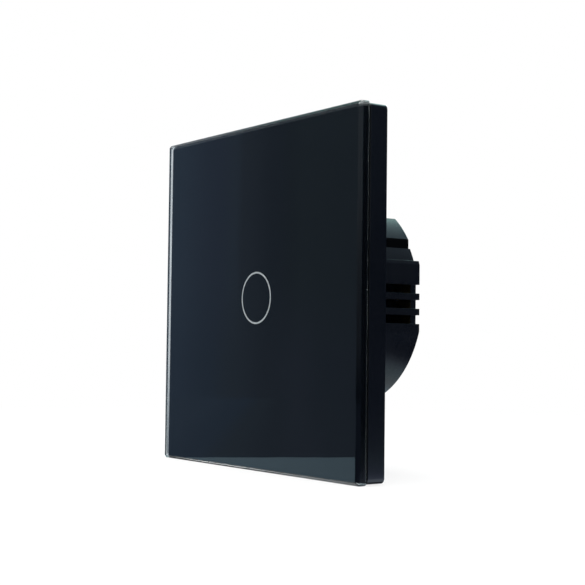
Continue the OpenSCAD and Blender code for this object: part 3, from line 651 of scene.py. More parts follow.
# Varistor and fuse resistor
# The parts that guard the supply: a disc dipped in blue resin, which dries in slow waves, and a
# resistor rod with a coat of green cement.
DIP_BLUE = (0.03, 0.07, 0.3, 1)
DIP_THIN = (0.05, 0.1, 0.38, 1)
CEMENT_GREEN = (0.07, 0.2, 0.15, 1)
CEMENT_PALE = (0.12, 0.27, 0.2, 1)
varistor_finish = moulded("varistor_dip", DIP_BLUE, DIP_THIN, gloss=0.28, grain=1500.0, depth=0.02, wave=0.8)
varistor = softened("varistor", "varistor_disc", radius=0.6, steps=3)
dress(varistor, varistor_finish, "varistor_coating", "switch_body", "varistor")
fuse_finish = moulded("fuse_cement", CEMENT_GREEN, CEMENT_PALE, gloss=0.5, grain=3000.0, depth=0.01)
fuse = softened("fuse_resistor", "fuse_body", radius=0.3)
dress(fuse, fuse_finish, "resistor_coating", "switch_body", "fuse_resistor")

# Chips
# The bridge rectifier and the regulator on the mains board and the controller on the touch board,
# each moulded in black epoxy with a matt, eroded face.
EPOXY_BLACK = (0.014, 0.014, 0.015, 1)
EPOXY_GREY = (0.03, 0.03, 0.032, 1)
chip_finish = moulded("chip_epoxy", EPOXY_BLACK, EPOXY_GREY, gloss=0.5, grain=9000.0, depth=0.004)
for chip in ("bridge_rectifier", "regulator", "touch_controller"):
    coat(chip, chip_finish)

# Choke
# A drum of pressed ferrite between two discs, with a close winding of enamelled copper wire. The
# drum stands on the mains board, and the wire is wound round it by a tree of nodes.
ENAMEL_COPPER = (0.45, 0.17, 0.06, 1)
ENAMEL_DARK = (0.3, 0.1, 0.04, 1)
CORE_GREY = (0.03, 0.028, 0.027, 1)
CORE_PALE = (0.05, 0.047, 0.045, 1)
WIRE_R = 0.00022
WIRE_FACETS = 8
COIL_FACETS = 28
CHOKE_DISC = 0.0014
CHOKE_SINK = 0.0008


def make_winding_tree():
    """Geometry nodes that wind a wire into a close coil along Y."""
    tree, start, link = new_maker("Wire winding", (
        ("Turns", "NodeSocketFloat"), ("Coil Radius", "NodeSocketFloat"), ("Coil Length", "NodeSocketFloat"),
        ("Wire Radius", "NodeSocketFloat"), ("Centre", "NodeSocketVector"), ("Finish", "NodeSocketMaterial"),
    ))
    spiral = add_node(tree, "GeometryNodeCurveSpiral")
    spiral.inputs["Resolution"].default_value = COIL_FACETS
    link(start.outputs["Turns"], spiral.inputs["Rotations"])
    link(start.outputs["Coil Radius"], spiral.inputs["Start Radius"])
    link(start.outputs["Coil Radius"], spiral.inputs["End Radius"])
    link(start.outputs["Coil Length"], spiral.inputs["Height"])
    wire = add_node(tree, "GeometryNodeCurvePrimitiveCircle", mode="RADIUS")
    wire.inputs["Resolution"].default_value = WIRE_FACETS
    link(start.outputs["Wire Radius"], wire.inputs["Radius"])
    sweep = add_node(tree, "GeometryNodeCurveToMesh")
    sweep.inputs["Fill Caps"].default_value = True
    link(spiral.outputs["Curve"], sweep.inputs["Curve"])
    link(wire.outputs["Curve"], sweep.inputs["Profile Curve"])
    lie = add_node(tree, "GeometryNodeTransform")
    lie.inputs["Rotation"].default_value = (-math.pi / 2, 0.0, 0.0)
    link(sweep.outputs["Mesh"], lie.inputs["Geometry"])
    link(start.outputs["Centre"], lie.inputs["Translation"])
    return close_maker(tree, start, lie.outputs["Geometry"])


enamel_finish = rolled(
    "enamelled_wire", ENAMEL_COPPER, ENAMEL_DARK, gloss=0.22, stretch=(900.0, 900.0, 900.0), depth=0.001
)
low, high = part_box("choke")
coil_length = high.y - low.y - 2 * CHOKE_DISC - 2 * WIRE_R
winding = grown(
    "choke_wire", make_winding_tree(), Turns=coil_length / (2 * WIRE_R),
    Coil_Radius=(high.x - low.x) / 2 - CHOKE_SINK + WIRE_R, Coil_Length=coil_length, Wire_Radius=WIRE_R,
    Centre=((low.x + high.x) / 2, low.y + CHOKE_DISC + WIRE_R, (low.z + high.z) / 2), Finish=enamel_finish,
)
winding.data.shade_smooth()
dress(winding, enamel_finish, "choke_winding", "switch_body")
coat("choke", moulded("choke_core", CORE_GREY, CORE_PALE, gloss=0.55, grain=3500.0, depth=0.008))

# Pin header and socket
# The row of tinned brass pins on the mains board, drawn from wire, and the black nylon socket on
# the touch board that they plug into.
NYLON_BLACK = (0.013, 0.013, 0.014, 1)
NYLON_GREY = (0.028, 0.028, 0.03, 1)
PIN_TIN = (0.62, 0.52, 0.28, 1)
PIN_DULL = (0.5, 0.42, 0.24, 1)
strip_finish = moulded("strip_nylon", NYLON_BLACK, NYLON_GREY, gloss=0.44, grain=6000.0, depth=0.004)
pin_finish = rolled("pin_tin", PIN_TIN, PIN_DULL, gloss=0.24, stretch=(7000.0, 500.0, 7000.0), depth=0.001)
coat("board_socket", strip_finish)
coat("pin_header", pin_finish)

# Touch sensor
# The copper ring that senses a finger through the glass, etched on the touch board, and four small
# lights with cast lenses, soldered behind the ring's ink.
COPPER = (0.68, 0.3, 0.15, 1)
COPPER_DULL = (0.5, 0.2, 0.1, 1)
LENS_CREAM = (0.75, 0.72, 0.5, 1)
LENS_PALE = (0.85, 0.83, 0.62, 1)
copper_finish = rolled(
    "sensor_copper", COPPER, COPPER_DULL, gloss=0.28, stretch=(4000.0, 800.0, 800.0), depth=0.001
)
coat("touch_electrode", copper_finish)
coat("indicator_leds", moulded("led_lens", LENS_CREAM, LENS_PALE, gloss=0.25, grain=4000.0, depth=0.002))

# Light guide
# A milky acrylic disc that spreads the lights' glow behind the ring. It is moulded, lets some
# light through, and sits in the cover's window.
GUIDE_MILKY = (0.72, 0.75, 0.76, 1)
GUIDE_PALE = (0.82, 0.85, 0.86, 1)
GUIDE_CLEAR = 0.35
guide_finish = moulded(
    "guide_acrylic", GUIDE_MILKY, GUIDE_PALE, gloss=0.3, grain=5000.0, depth=0.002, dust=0.02
)
set_all_over(guide_finish, "Transmission Weight", GUIDE_CLEAR)
guide = softened("light_guide", "light_spreader", radius=0.12)
dress(guide, guide_finish, "guide_plastic", "switch_body", "light_guide")

# Sensor cover
# The black moulded lid over the touch board. It hooks to the base's flange and is seen
# only when the panel is off.
COVER_BLACK = (0.018, 0.019, 0.02, 1)
COVER_WORN = (0.034, 0.035, 0.037, 1)
cover_finish = moulded("cover_plastic_matt", COVER_BLACK, COVER_WORN, gloss=0.46, grain=5200.0, depth=0.007)
cover = softened("sensor_cover", "sensor_lid", radius=0.3)
dress(cover, cover_finish, "cover_plastic", "switch_body", "sensor_cover")

# Yoke
# The mounting plate, pressed from galvanised steel sheet: slots for the wall box screws, a round
# opening for the base and folded tabs for the panel's clips. Zinc gives it a cloudy grey.
ZINC_LIGHT = (0.5, 0.52, 0.54, 1)
ZINC_DARK = (0.36, 0.38, 0.4, 1)
yoke_finish = rolled(
    "yoke_galvanised", ZINC_LIGHT, ZINC_DARK, gloss=0.36, stretch=(500.0, 6000.0, 6000.0), depth=0.003
)
yoke = softened("yoke", "mounting_plate", radius=0.12)
dress(yoke, yoke_finish, "yoke_steel", "switch_body", "yoke")

# Flange screws
# Four zinc-plated pan-head screws that clamp the base's flange to the yoke. They are driven from
# the front, and their tips show behind the plate.
FLANGE_HEAD_R = 2.1
FLANGE_HEAD_T = 1.0
FLANGE_SHANK_R = 1.2
low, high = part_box("flange_screws")
flange_seat = low.y + FLANGE_HEAD_T * MM
flange_span = high.x - low.x - 2 * FLANGE_HEAD_R * MM
flange_master = screw_mesh(
    "flange_screw_form", FLANGE_HEAD_R, FLANGE_HEAD_T, FLANGE_SHANK_R, (high.y - flange_seat) / MM,
    pitch=0.5, slot_w=0.7, slot_t=0.55,
)
flange_screws = grown(
    "flange_screw_set", screw_tree, Screw=flange_master, Columns=2, Rows=2, Width=flange_span,
    Height=flange_span, Centre=(0.0, flange_seat, 0.0), Facing=0.0, Turn_Spread=TURN_SPREAD,
    Finish=screw_finish,
)
dress(flange_screws, screw_finish, "screw_steel", "switch_body", "flange_screws")
bpy.data.objects.remove(flange_master)

# Panel frame
# The thin surround that carries the glass, moulded in glossy black ABS, with tongues that clip to the
# yoke's tabs. Its skin is polished, with slow waves from the mould and a little dust, and its front
# ledge is left matt so that the tape holds.
FRAME_BLACK = (0.0012, 0.0015, 0.0023, 1)
FRAME_WORN = (0.0022, 0.0027, 0.0038, 1)
LEDGE_BLACK = (0.003, 0.0035, 0.0045, 1)
LEDGE_WORN = (0.005, 0.0055, 0.007, 1)
LEDGE_SHINE = 0.1
LEDGE_DEPTH = 0.02
frame_finish = moulded(
    "frame_abs_gloss", FRAME_BLACK, FRAME_WORN, gloss=0.16, grain=2600.0, depth=0.0012, wave=0.7, dust=0.05
)
ledge_finish = moulded("frame_ledge_matt", LEDGE_BLACK, LEDGE_WORN, gloss=0.6, grain=2600.0, depth=0.004)
set_all_over(ledge_finish, "Specular IOR Level", LEDGE_SHINE)
surround = softened("panel_frame", "panel_surround", radius=0.1)
surround.data.materials.append(frame_finish)
surround.data.materials.append(ledge_finish)
ledge_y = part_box("panel_frame")[0].y + LEDGE_DEPTH * MM
for face in surround.data.polygons:
    if face.center.y < ledge_y:
        face.material_index = 1
dress(surround, frame_finish, "frame_plastic", "panel", "panel_frame")

# Adhesive tape
# A frame of black foam tape between the glass and the surround, cut from sheet, with a fine
# open-cell face and glue on both sides.
TAPE_BLACK = (0.004, 0.004, 0.0045, 1)
TAPE_GREY = (0.008, 0.008, 0.009, 1)
tape_finish = moulded("tape_foam", TAPE_BLACK, TAPE_GREY, gloss=0.75, grain=3800.0, depth=0.03, wave=0.2)
coat("glass_adhesive", tape_finish)

# Printed inks
# Black ink screen-printed on the rear of the glass, with a ring left open and filled in a pale
# silver ink that the lights shine through. The ring's faint glow of its own is painted light: it stands
# in for the lights behind it, which are not lit, and for the room light that the glass keeps from the ink.
INK_BLACK = (0.0014, 0.0018, 0.0024, 1)
INK_THIN = (0.0024, 0.003, 0.0038, 1)
RING_SILVER = (0.62, 0.64, 0.66, 1)
RING_SHADE = (0.5, 0.52, 0.54, 1)
RING_PAINTED_GLOW = 0.25
ink_finish = moulded("ink_black", INK_BLACK, INK_THIN, gloss=0.6, grain=6000.0, depth=0.001, dust=0.0)
set_all_over(ink_finish, "Specular IOR Level", 0.0)
ring_finish = moulded(
    "ink_ring_silver", RING_SILVER, RING_SHADE, gloss=0.5, grain=7000.0, depth=0.001, dust=0.0
)
# Painted light: the ring ink glows faintly of its own, though it is no lamp.
set_all_over(ring_finish, "Emission Color", RING_SILVER)
set_all_over(ring_finish, "Emission Strength", RING_PAINTED_GLOW)
coat("back_print", ink_finish)
coat("touch_ring", ring_finish)

# Glass
# The front: faintly green float glass cut square, its front edges bevelled and polished, then tempered.
# Its sides are finely ground, which takes most of their mirror shine, so they have a low index. The inks
# lie on its rear face, a little off centre, inside a margin that is left clear.
GLASS_TINT = (0.93, 0.98, 0.96, 1)
GROUND_TINT = (0.7, 0.79, 0.8, 1)
MARGIN_TINT = (0.42, 0.46, 0.5, 1)
GLASS_INDEX = 1.52
GROUND_INDEX = 1.3
HAZE_SCALE = 90.0
HAZE_LEAST = 0.6
HAZE_MOST = 1.4
SPECK_HAZE = 0.3
GLASS_CORNER = 0.55
FRONT_CORNER = 0.06
CORNER_STEPS = 23
BEVEL_W = 0.7
BEVEL_D = 0.7
ARRIS = 0.12
SIDE_ARRIS = 0.3 * ARRIS
FRONT_ARRIS_D = 0.4 * ARRIS
FRONT_ARRIS_W = 0.6 * ARRIS
REAR_ARRIS = 0.05
INK_CLEAR = 0.02
RING_LINE = 0.4
PRINT_MARGIN = 0.75
PRINT_ASIDE = 0.25
PRINT_ABOVE = -0.25
PRINT_CORNER = 0.2


def square_loop(half, radius, y):
    """Points round a square with round corners, in millimetres, at a depth y."""
    points = []
    for quarter in range(4):
        start = quarter * math.pi / 2
        middle = start + math.pi / 4
        x0 = math.copysign(half - radius, math.cos(middle))
        z0 = math.copysign(half - radius, math.sin(middle))
        for step in range(CORNER_STEPS + 1):
            angle = start + step / CORNER_STEPS * math.pi / 2
            points.append((x0 + radius * math.cos(angle), y, z0 + radius * math.sin(angle)))
    return points


def round_loop(radius, y):
    """As many points round a circle as a square loop has."""
    total = 4 * (CORNER_STEPS + 1)
    angles = [2 * math.pi * (step + 0.5) / total for step in range(total)]
    return [(radius * math.cos(angle), y, radius * math.sin(angle)) for angle in angles]


def printed(loop):
    """A loop of the print, moved as far off centre as the print lies."""
    return [(x + PRINT_ASIDE, y, z + PRINT_ABOVE) for x, y, z in loop]


def loft(solid, loops, finishes):
    """Bands of faces between loops of equal length, each with its finish's number; gives the rings."""
    rings = [[solid.verts.new(Vector(point) * MM) for point in loop] for loop in loops]
    for near, far, finish in zip(rings, rings[1:], finishes):
        for face in bridge(solid, near, far):
            face.material_index = finish
    return rings


CLEAR, GROUND, INK, RING, MARGIN = range(5)
low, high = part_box("glass_panel")
half = high.x / MM
front = low.y / MM
rear = high.y / MM - INK_CLEAR
bevel_rear = front + BEVEL_D
ring_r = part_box("touch_ring")[1].x / MM
loops = [
    printed(round_loop(ring_r - RING_LINE, rear)),
    printed(round_loop(ring_r, rear)),
    printed(square_loop(half - PRINT_MARGIN, PRINT_CORNER, rear)),
    square_loop(half - REAR_ARRIS, GLASS_CORNER, rear),
    square_loop(half, GLASS_CORNER, rear - REAR_ARRIS),
    square_loop(half, GLASS_CORNER, bevel_rear + ARRIS),
    square_loop(half - SIDE_ARRIS, GLASS_CORNER - SIDE_ARRIS, bevel_rear - SIDE_ARRIS),
    square_loop(half - BEVEL_W + FRONT_ARRIS_D, FRONT_CORNER, front + FRONT_ARRIS_D),
    square_loop(half - BEVEL_W - FRONT_ARRIS_W, FRONT_CORNER, front),
]
solid = bmesh.new()
rings = loft(solid, loops, (RING, INK, MARGIN, GROUND, GROUND, CLEAR, CLEAR, CLEAR))
solid.faces.new(rings[0]).material_index = INK
solid.faces.new(rings[-1]).material_index = CLEAR
bmesh.ops.recalc_face_normals(solid, faces=solid.faces)
glass_mesh = bpy.data.meshes.new("glass_front")
solid.to_mesh(glass_mesh)
solid.free()


def clear_glass(name, tint, gloss, waves, depth, index=GLASS_INDEX):
    """Glass with a faint tint, a slow surface wave and specks of dust that dull it."""
    material, tree, shader, place = new_material(name)
    specks = place_group(tree, dust_group, place, Scale=420.0, Amount=0.05)
    tree.links.new(two_tone(tree, specks.outputs["Mask"], tint, DUST_GREY), shader.inputs["Base Color"])
    haze = spread(tree, noise(tree, place, HAZE_SCALE, detail=3.0), gloss * HAZE_LEAST, gloss * HAZE_MOST)
    dulled = maths(tree, "ADD", haze, maths(tree, "MULTIPLY", specks.outputs["Mask"], SPECK_HAZE))
    tree.links.new(dulled, shader.inputs["Roughness"])
    shader.inputs["IOR"].default_value = index
    shader.inputs["Transmission Weight"].default_value = 1.0
    bump(tree, shader, noise(tree, place, waves, detail=1.0), depth * MM)
    return material


polished_finish = clear_glass("glass_polished", GLASS_TINT, gloss=0.012, waves=40.0, depth=0.0004)
ground_finish = clear_glass(
    "glass_ground_edge", GROUND_TINT, gloss=0.2, waves=4000.0, depth=0.001, index=GROUND_INDEX
)
margin_finish = clear_glass("glass_margin", MARGIN_TINT, gloss=0.2, waves=4000.0, depth=0.001)
glass = add_piece("glass_front", glass_mesh)
for finish in (polished_finish, ground_finish, ink_finish, ring_finish, margin_finish):
    glass.data.materials.append(finish)
settle(glass)
dress(glass, polished_finish, "panel_glass", "panel", "glass_panel")

# Stage
# A white floor, and round the switch what only its reflections see, as in a studio for dark glossy things:
# cloths, a pale sheet, a dark ground and strips under the lower edges. What the clear left edge shows of
# the floor behind it is shaded. Soft lamps hang above and to the left.
FLOOR_Z = low.z
SQUARE = ((-1, -1), (1, -1), (1, 1), (-1, 1))
ONE_FACE = [(0, 1, 2, 3)]
CLOTH_R = 0.45
CLOTH_STEP = 2
CLOTH_SINK = 0.002
CLOTH_LOW = -0.02
CLOTH_HIGH = 0.03
LEFT_MIDDLE = -55
REAR_MIDDLE = 183
LOW_CLOTH_R = 0.441
LOW_CLOTH_DARK = (0.02, 0.03, 0.05, 1)
ASIDE_AXIS = (1.0, 0.0, 0.0)
UP_AXIS = (0.0, 0.0, 1.0)


def stage_mesh(name, points, faces):
    """A stage object from points and faces."""
    mesh = bpy.data.meshes.new(name)
    mesh.from_pydata(points, [], faces)
    piece = add_piece(name, mesh)
    return piece


def mirrored(name, points, faces, glossy=True):
    """A glowing stage object that only reflections and what is seen through glass show.

    Gives its material's tree, the socket of its colour and its coordinates.
    """
    piece = stage_mesh(name, points, faces)
    piece.visible_camera = False
    piece.visible_glossy = glossy
    piece.visible_diffuse = False
    piece.visible_volume_scatter = False
    piece.visible_shadow = False
    material = bpy.data.materials.new(name + "_weave")
    material.use_nodes = True
    tree = material.node_tree
    tree.nodes.remove(tree.nodes["Principled BSDF"])
    glow = add_node(tree, "ShaderNodeEmission")
    tree.links.new(glow.outputs["Emission"], tree.nodes["Material Output"].inputs["Surface"])
    place = add_node(tree, "ShaderNodeTexCoord").outputs["Object"]
    piece.data.materials.append(material)
    return tree, glow.inputs["Color"], place


def share(tree, value, first, last):
    """How far a value is from a first level to a last one, from 0 to 1, as an output."""
    node = add_node(tree, "ShaderNodeMapRange")
    node.inputs["From Min"].default_value = first
    node.inputs["From Max"].default_value = last
    tree.links.new(value, node.inputs["Value"])
    return node.outputs["Result"]


def ramp(tree, value, stops, between="EASE"):
    """A ramp of colours over a value, from stops of a value and a colour, as an output."""
    first, last = stops[0][0], stops[-1][0]
    node = add_node(tree, "ShaderNodeValToRGB")
    node.color_ramp.interpolation = between
    while len(node.color_ramp.elements) < len(stops):
        node.color_ramp.elements.new(0.5)
    for element, (at, colour) in zip(node.color_ramp.elements, stops):
        element.position = (at - first) / (last - first)
        element.color = (*colour, 1.0)
    tree.links.new(share(tree, value, first, last), node.inputs["Fac"])
    return node.outputs["Color"]


def dot(tree, place, axis):
    """The distance along an axis, as an output."""
    node = add_node(tree, "ShaderNodeVectorMath", operation="DOT_PRODUCT")
    tree.links.new(place, node.inputs[0])
    node.inputs[1].default_value = axis
    return node.outputs["Value"]


def cloth(name, first, last, top, radius=CLOTH_R):
    """An arc of cloth that stands on the floor, from one bearing to another in degrees."""
    points = []
    for bearing in range(first, last + 1, CLOTH_STEP):
        turn = math.radians(bearing)
        for z in (FLOOR_Z - CLOTH_SINK, top):
            points.append((radius * math.sin(turn), -radius * math.cos(turn), z))
    faces = [(i, i + 2, i + 3, i + 1) for i in range(0, len(points) - 2, 2)]
    return mirrored(name, points, faces)


def bearing_round(tree, place, middle):
    """The bearing in degrees of a point on a cloth, from the bearing of the cloth's middle, as an output."""
    turn = math.radians(middle)
    ahead = dot(tree, place, (math.sin(turn), -math.cos(turn), 0.0))
    aside = dot(tree, place, (math.cos(turn), math.sin(turn), 0.0))
    return maths(tree, "ADD", maths(tree, "DEGREES", maths(tree, "ARCTAN2", aside, ahead)), middle)


# The cloth at the left has soft folds, which the front of the glass mirrors, and others near the floor.
tree, colour, place = cloth("cloth_left", first=-70, last=-40, top=0.3)
bearing = bearing_round(tree, place, LEFT_MIDDLE)
left_high = ramp(tree, bearing, (
    (-70, (0.5, 0.62, 0.75)), (-61.6, (0.2, 0.3, 0.45)), (-58.2, (0.17, 0.24, 0.37)),
    (-57.0, (0.175, 0.25, 0.36)), (-56.4, (0.152, 0.207, 0.29)), (-54.0, (0.118, 0.165, 0.235)),
    (-52.8, (0.118, 0.167, 0.225)), (-52.2, (0.128, 0.182, 0.238)), (-40, (0.12, 0.165, 0.225)),
))
left_low = ramp(tree, bearing, (
    (-70, (0.4, 0.5, 0.62)), (-61.2, (0.172, 0.258, 0.395)), (-59.0, (0.153, 0.23, 0.35)),
    (-57.2, (0.156, 0.22, 0.31)), (-54.5, (0.133, 0.182, 0.258)), (-52.0, (0.146, 0.195, 0.28)),
    (-50.3, (0.131, 0.18, 0.255)), (-40, (0.125, 0.17, 0.24)),
))
raised = share(tree, dot(tree, place, UP_AXIS), CLOTH_LOW, CLOTH_HIGH)
tree.links.new(two_tone(tree, raised, left_low, left_high), colour)

# The cloths in front and at the right grow lighter upwards, the one at the rear grows lighter to the left.
tree, colour, place = cloth("cloth_front", first=-40, last=74, top=0.3)
tree.links.new(ramp(tree, dot(tree, place, UP_AXIS), (
    (-0.04, (0.03, 0.045, 0.08)), (0.0, (0.12, 0.15, 0.2)), (0.1, (0.34, 0.42, 0.5)),
    (0.3, (0.4, 0.46, 0.52)),
)), colour)
tree, colour, place = cloth("cloth_side", first=74, last=150, top=0.66)
tree.links.new(ramp(tree, dot(tree, place, UP_AXIS), (
    (-0.04, (0.06, 0.085, 0.15)), (0.015, (0.025, 0.04, 0.08)), (0.11, (0.07, 0.1, 0.16)),
    (0.36, (0.07, 0.1, 0.15)), (0.66, (0.14, 0.19, 0.27)),
)), colour)
tree, colour, place = cloth("cloth_rear", first=150, last=216, top=0.66)
tree.links.new(ramp(tree, bearing_round(tree, place, REAR_MIDDLE), (
    (150, (0.1, 0.14, 0.2)), (165, (0.21, 0.34, 0.44)), (180, (0.43, 0.7, 0.82)),
    (203, (1.5, 2.4, 2.3)), (216, (1.7, 2.6, 2.5)),
)), colour)
tree, colour, place = cloth("cloth_low", first=150, last=236, top=0.14, radius=LOW_CLOTH_R)
colour.default_value = LOW_CLOTH_DARK
tree, colour, place = cloth("cloth_high", first=-116, last=-84, top=0.5)
tree.links.new(ramp(tree, dot(tree, place, UP_AXIS), (
    (0.28, (0.42, 0.48, 0.53)), (0.38, (0.2, 0.34, 0.34)),
)), colour)

# The floor, which the camera sees white, and a little of the switch's shadow near it.
FLOOR_HALF = 3.0
FLOOR_MATT = 0.9
FLOOR_GREY = 0.86
FLOOR_WHITE = 0.9
FLOOR_PATCHES = 12.0
FLOOR_NEAR = 0.07
FLOOR_FAR = 0.3
FLOOR_GLOW_NEAR = 0.8
floor = stage_mesh("floor", [(x * FLOOR_HALF, y * FLOOR_HALF, FLOOR_Z) for x, y in SQUARE], ONE_FACE)
floor.visible_glossy = False
floor_material, tree, shader, place = new_material("floor_white")
shader.inputs["Roughness"].default_value = FLOOR_MATT
patches = spread(tree, noise(tree, place, FLOOR_PATCHES), FLOOR_GREY, FLOOR_WHITE)
tree.links.new(patches, shader.inputs["Base Color"])
seen = add_node(tree, "ShaderNodeLightPath")
glow = add_node(tree, "ShaderNodeEmission")
blend = add_node(tree, "ShaderNodeMixShader")
away = add_node(tree, "ShaderNodeVectorMath", operation="LENGTH")
tree.links.new(place, away.inputs[0])
white = spread(tree, share(tree, away.outputs["Value"], FLOOR_NEAR, FLOOR_FAR), FLOOR_GLOW_NEAR, 1.0)
direct = maths(tree, "MAXIMUM", seen.outputs["Is Camera Ray"], seen.outputs["Is Transmission Ray"])
tree.links.new(maths(tree, "MULTIPLY", direct, white), blend.inputs["Fac"])
tree.links.new(shader.outputs["BSDF"], blend.inputs[1])
tree.links.new(glow.outputs["Emission"], blend.inputs[2])
tree.links.new(blend.outputs["Shader"], tree.nodes["Material Output"].inputs["Surface"])
floor.data.materials.append(floor_material)

# The pale sheet on the floor, which the lower right of the glass and the frame's side mirror.
SHEET_ALONG = Vector((0.814, 0.581, 0.0))
SHEET_ACROSS = Vector((-0.581, 0.814, 0.0))
SHEET_SINK = 0.0002
SHEET_NEAR = -0.0411
SHEET_FAR = 0.2
SHEET_RIGHT = -0.034
SHEET_LEFT = 0.11
SHEET_TILT = 0.142
SHEET_SLANT = 0.16
SHEET_SIDE_END = -0.013
SHEET_REAR_START = 0.005
SHEET_BLUE = (0.54, 0.79, 0.97)
GROUND_DARK = (0.06, 0.085, 0.15)
sheet_foot = Vector((0.0, 0.0, FLOOR_Z - SHEET_SINK))
sheet_points = []
for along, across in (
    (SHEET_NEAR + SHEET_TILT * SHEET_RIGHT, SHEET_RIGHT), (SHEET_FAR, SHEET_RIGHT), (SHEET_FAR, SHEET_LEFT),
    (SHEET_NEAR + SHEET_TILT * SHEET_LEFT, SHEET_LEFT),
):
    sheet_points.append(SHEET_ALONG * along + SHEET_ACROSS * across + sheet_foot)
tree, colour, place = mirrored("pale_sheet", sheet_points, ONE_FACE)
rear_shade = ramp(tree, dot(tree, place, SHEET_ALONG + SHEET_ACROSS * SHEET_SLANT), (
    (SHEET_NEAR, SHEET_BLUE), (0.022, SHEET_BLUE), (0.0345, (0.48, 0.55, 0.6)), (0.0388, (0.46, 0.6, 0.67)),
    (0.044, (0.41, 0.55, 0.63)), (0.047, (0.4, 0.5, 0.62)), (0.0501, (0.24, 0.29, 0.38)),
    (0.0538, (0.04, 0.05, 0.1)), (0.06, (0.02, 0.03, 0.07)), (0.075, (0.05, 0.07, 0.13)),
    (0.085, GROUND_DARK),
), "LINEAR")
side_shade = ramp(tree, dot(tree, place, SHEET_ALONG), (
    (SHEET_NEAR, SHEET_BLUE), (0.022, SHEET_BLUE), (0.034, (1.0, 1.15, 1.4)), (0.0405, (0.8, 0.95, 1.25)),
    (0.0455, (0.58, 0.68, 0.97)), (0.0535, (0.34, 0.42, 0.64)), (0.063, (0.24, 0.3, 0.45)),
    (0.083, (0.21, 0.3, 0.4)), (0.107, (0.16, 0.22, 0.29)), (0.135, (0.13, 0.17, 0.25)),
    (0.167, (0.088, 0.117, 0.197)), (SHEET_FAR, GROUND_DARK),
), "LINEAR")
to_rear = share(tree, dot(tree, place, SHEET_ACROSS), SHEET_SIDE_END, SHEET_REAR_START)
tree.links.new(two_tone(tree, to_rear, side_shade, rear_shade), colour)

# Strips of the floor under the switch, as its lowest edges mirror them: before the glass, a light line
# under its bevel, then its shade and the frame's.
STRIP_HALF = 0.0398
STRIP_SINK = 0.0001
STRIP_NEAR = -0.0086
LINE_NEAR = -0.0072
LINE_FAR = -0.00695
UNDER_FRAME = -0.0045
STRIP_FAR = 0.0005
UNDER_FRAME_DARK = (0.12, 0.13, 0.16, 1)


def contact_strip(name, near, far):
    """A strip of the floor between two depths."""
    corners = ((-STRIP_HALF, near), (STRIP_HALF, near), (STRIP_HALF, far), (-STRIP_HALF, far))
    points = [(x, y, FLOOR_Z - STRIP_SINK) for x, y in corners]
    return mirrored(name, points, ONE_FACE)


tree, colour, place = contact_strip("strip_near", STRIP_NEAR, LINE_NEAR)
tree.links.new(ramp(tree, dot(tree, place, ASIDE_AXIS), (
    (-0.04, (0.3, 0.33, 0.35)), (-0.028, (0.4, 0.43, 0.45)), (-0.022, (0.55, 0.6, 0.62)),
    (0.012, (0.55, 0.6, 0.62)), (0.024, (0.8, 0.86, 0.88)), (0.04, (0.85, 0.9, 0.92)),
), "LINEAR"), colour)
tree, colour, place = contact_strip("strip_line", LINE_NEAR, LINE_FAR)
tree.links.new(ramp(tree, dot(tree, place, ASIDE_AXIS), (
    (-0.036, (0.4, 0.43, 0.45)), (-0.029, (1.5, 1.6, 1.6)), (-0.02, (2.6, 2.7, 2.7)),
    (-0.003, (2.6, 2.7, 2.7)), (0.012, (1.3, 1.4, 1.4)), (0.04, (0.9, 0.95, 1.0)),
), "LINEAR"), colour)
tree, colour, place = contact_strip("strip_under_glass", LINE_FAR, UNDER_FRAME)
tree.links.new(ramp(tree, dot(tree, place, ASIDE_AXIS), (
    (-0.04, (0.12, 0.13, 0.14)), (0.004, (0.12, 0.13, 0.14)), (0.02, (0.6, 0.65, 0.68)),
    (0.04, (0.6, 0.65, 0.68)),
), "LINEAR"), colour)
tree, colour, place = contact_strip("strip_under_frame", UNDER_FRAME, STRIP_FAR)
colour.default_value = UNDER_FRAME_DARK

# The shade on the floor at the left, which is seen only through the glass's clear edge.
SHADE_LIFT = 0.0002
SHADE_START = Vector((-0.0415, -0.006, FLOOR_Z + SHADE_LIFT))
SHADE_ALONG = Vector((-0.866, 0.5, 0.0))
SHADE_ACROSS = Vector((0.5, 0.866, 0.0))
SHADE_LENGTH = 1.2
SHADE_HALF = 0.4
shade_points = [SHADE_START]
for side in (-1, 1):
    shade_points.append(SHADE_START + SHADE_ALONG * SHADE_LENGTH + SHADE_ACROSS * side * SHADE_HALF)
tree, colour, place = mirrored("floor_shade_left", shade_points, [(0, 1, 2)], glossy=False)
from_start = maths(tree, "SUBTRACT", dot(tree, place, SHADE_ALONG), SHADE_START.dot(SHADE_ALONG))
tree.links.new(ramp(tree, from_start, (
    (0.0, (0.15, 0.16, 0.18)), (0.06, (0.2, 0.22, 0.24)), (0.17, (0.34, 0.36, 0.38)),
    (0.4, (0.5, 0.53, 0.55)), (SHADE_LENGTH, (0.75, 0.78, 0.8)),
), "LINEAR"), colour)

# The dark ground under all of it, which carries on the folds of the left cloth.
GROUND_HALF = 0.6
GROUND_SINK = 0.001
GROUND_LEFT_END = -0.036
GROUND_RIGHT_START = 0.0
ground_points = [(x * GROUND_HALF, y * GROUND_HALF, FLOOR_Z - GROUND_SINK) for x, y in SQUARE]
tree, colour, place = mirrored("dark_ground", ground_points, ONE_FACE)
ground_left = ramp(tree, dot(tree, place, SHEET_ACROSS), (
    (-0.048, (0.131, 0.18, 0.255)), (-0.028, (0.135, 0.185, 0.26)), (-0.017, (0.148, 0.197, 0.28)),
    (-0.009, (0.133, 0.183, 0.258)), (0.002, (0.15, 0.21, 0.29)), (0.012, (0.152, 0.23, 0.35)),
    (0.03, (0.172, 0.256, 0.385)),
))
to_right = share(tree, dot(tree, place, SHEET_ALONG), GROUND_LEFT_END, GROUND_RIGHT_START)
tree.links.new(two_tone(tree, to_right, ground_left, (*GROUND_DARK, 1.0)), colour)

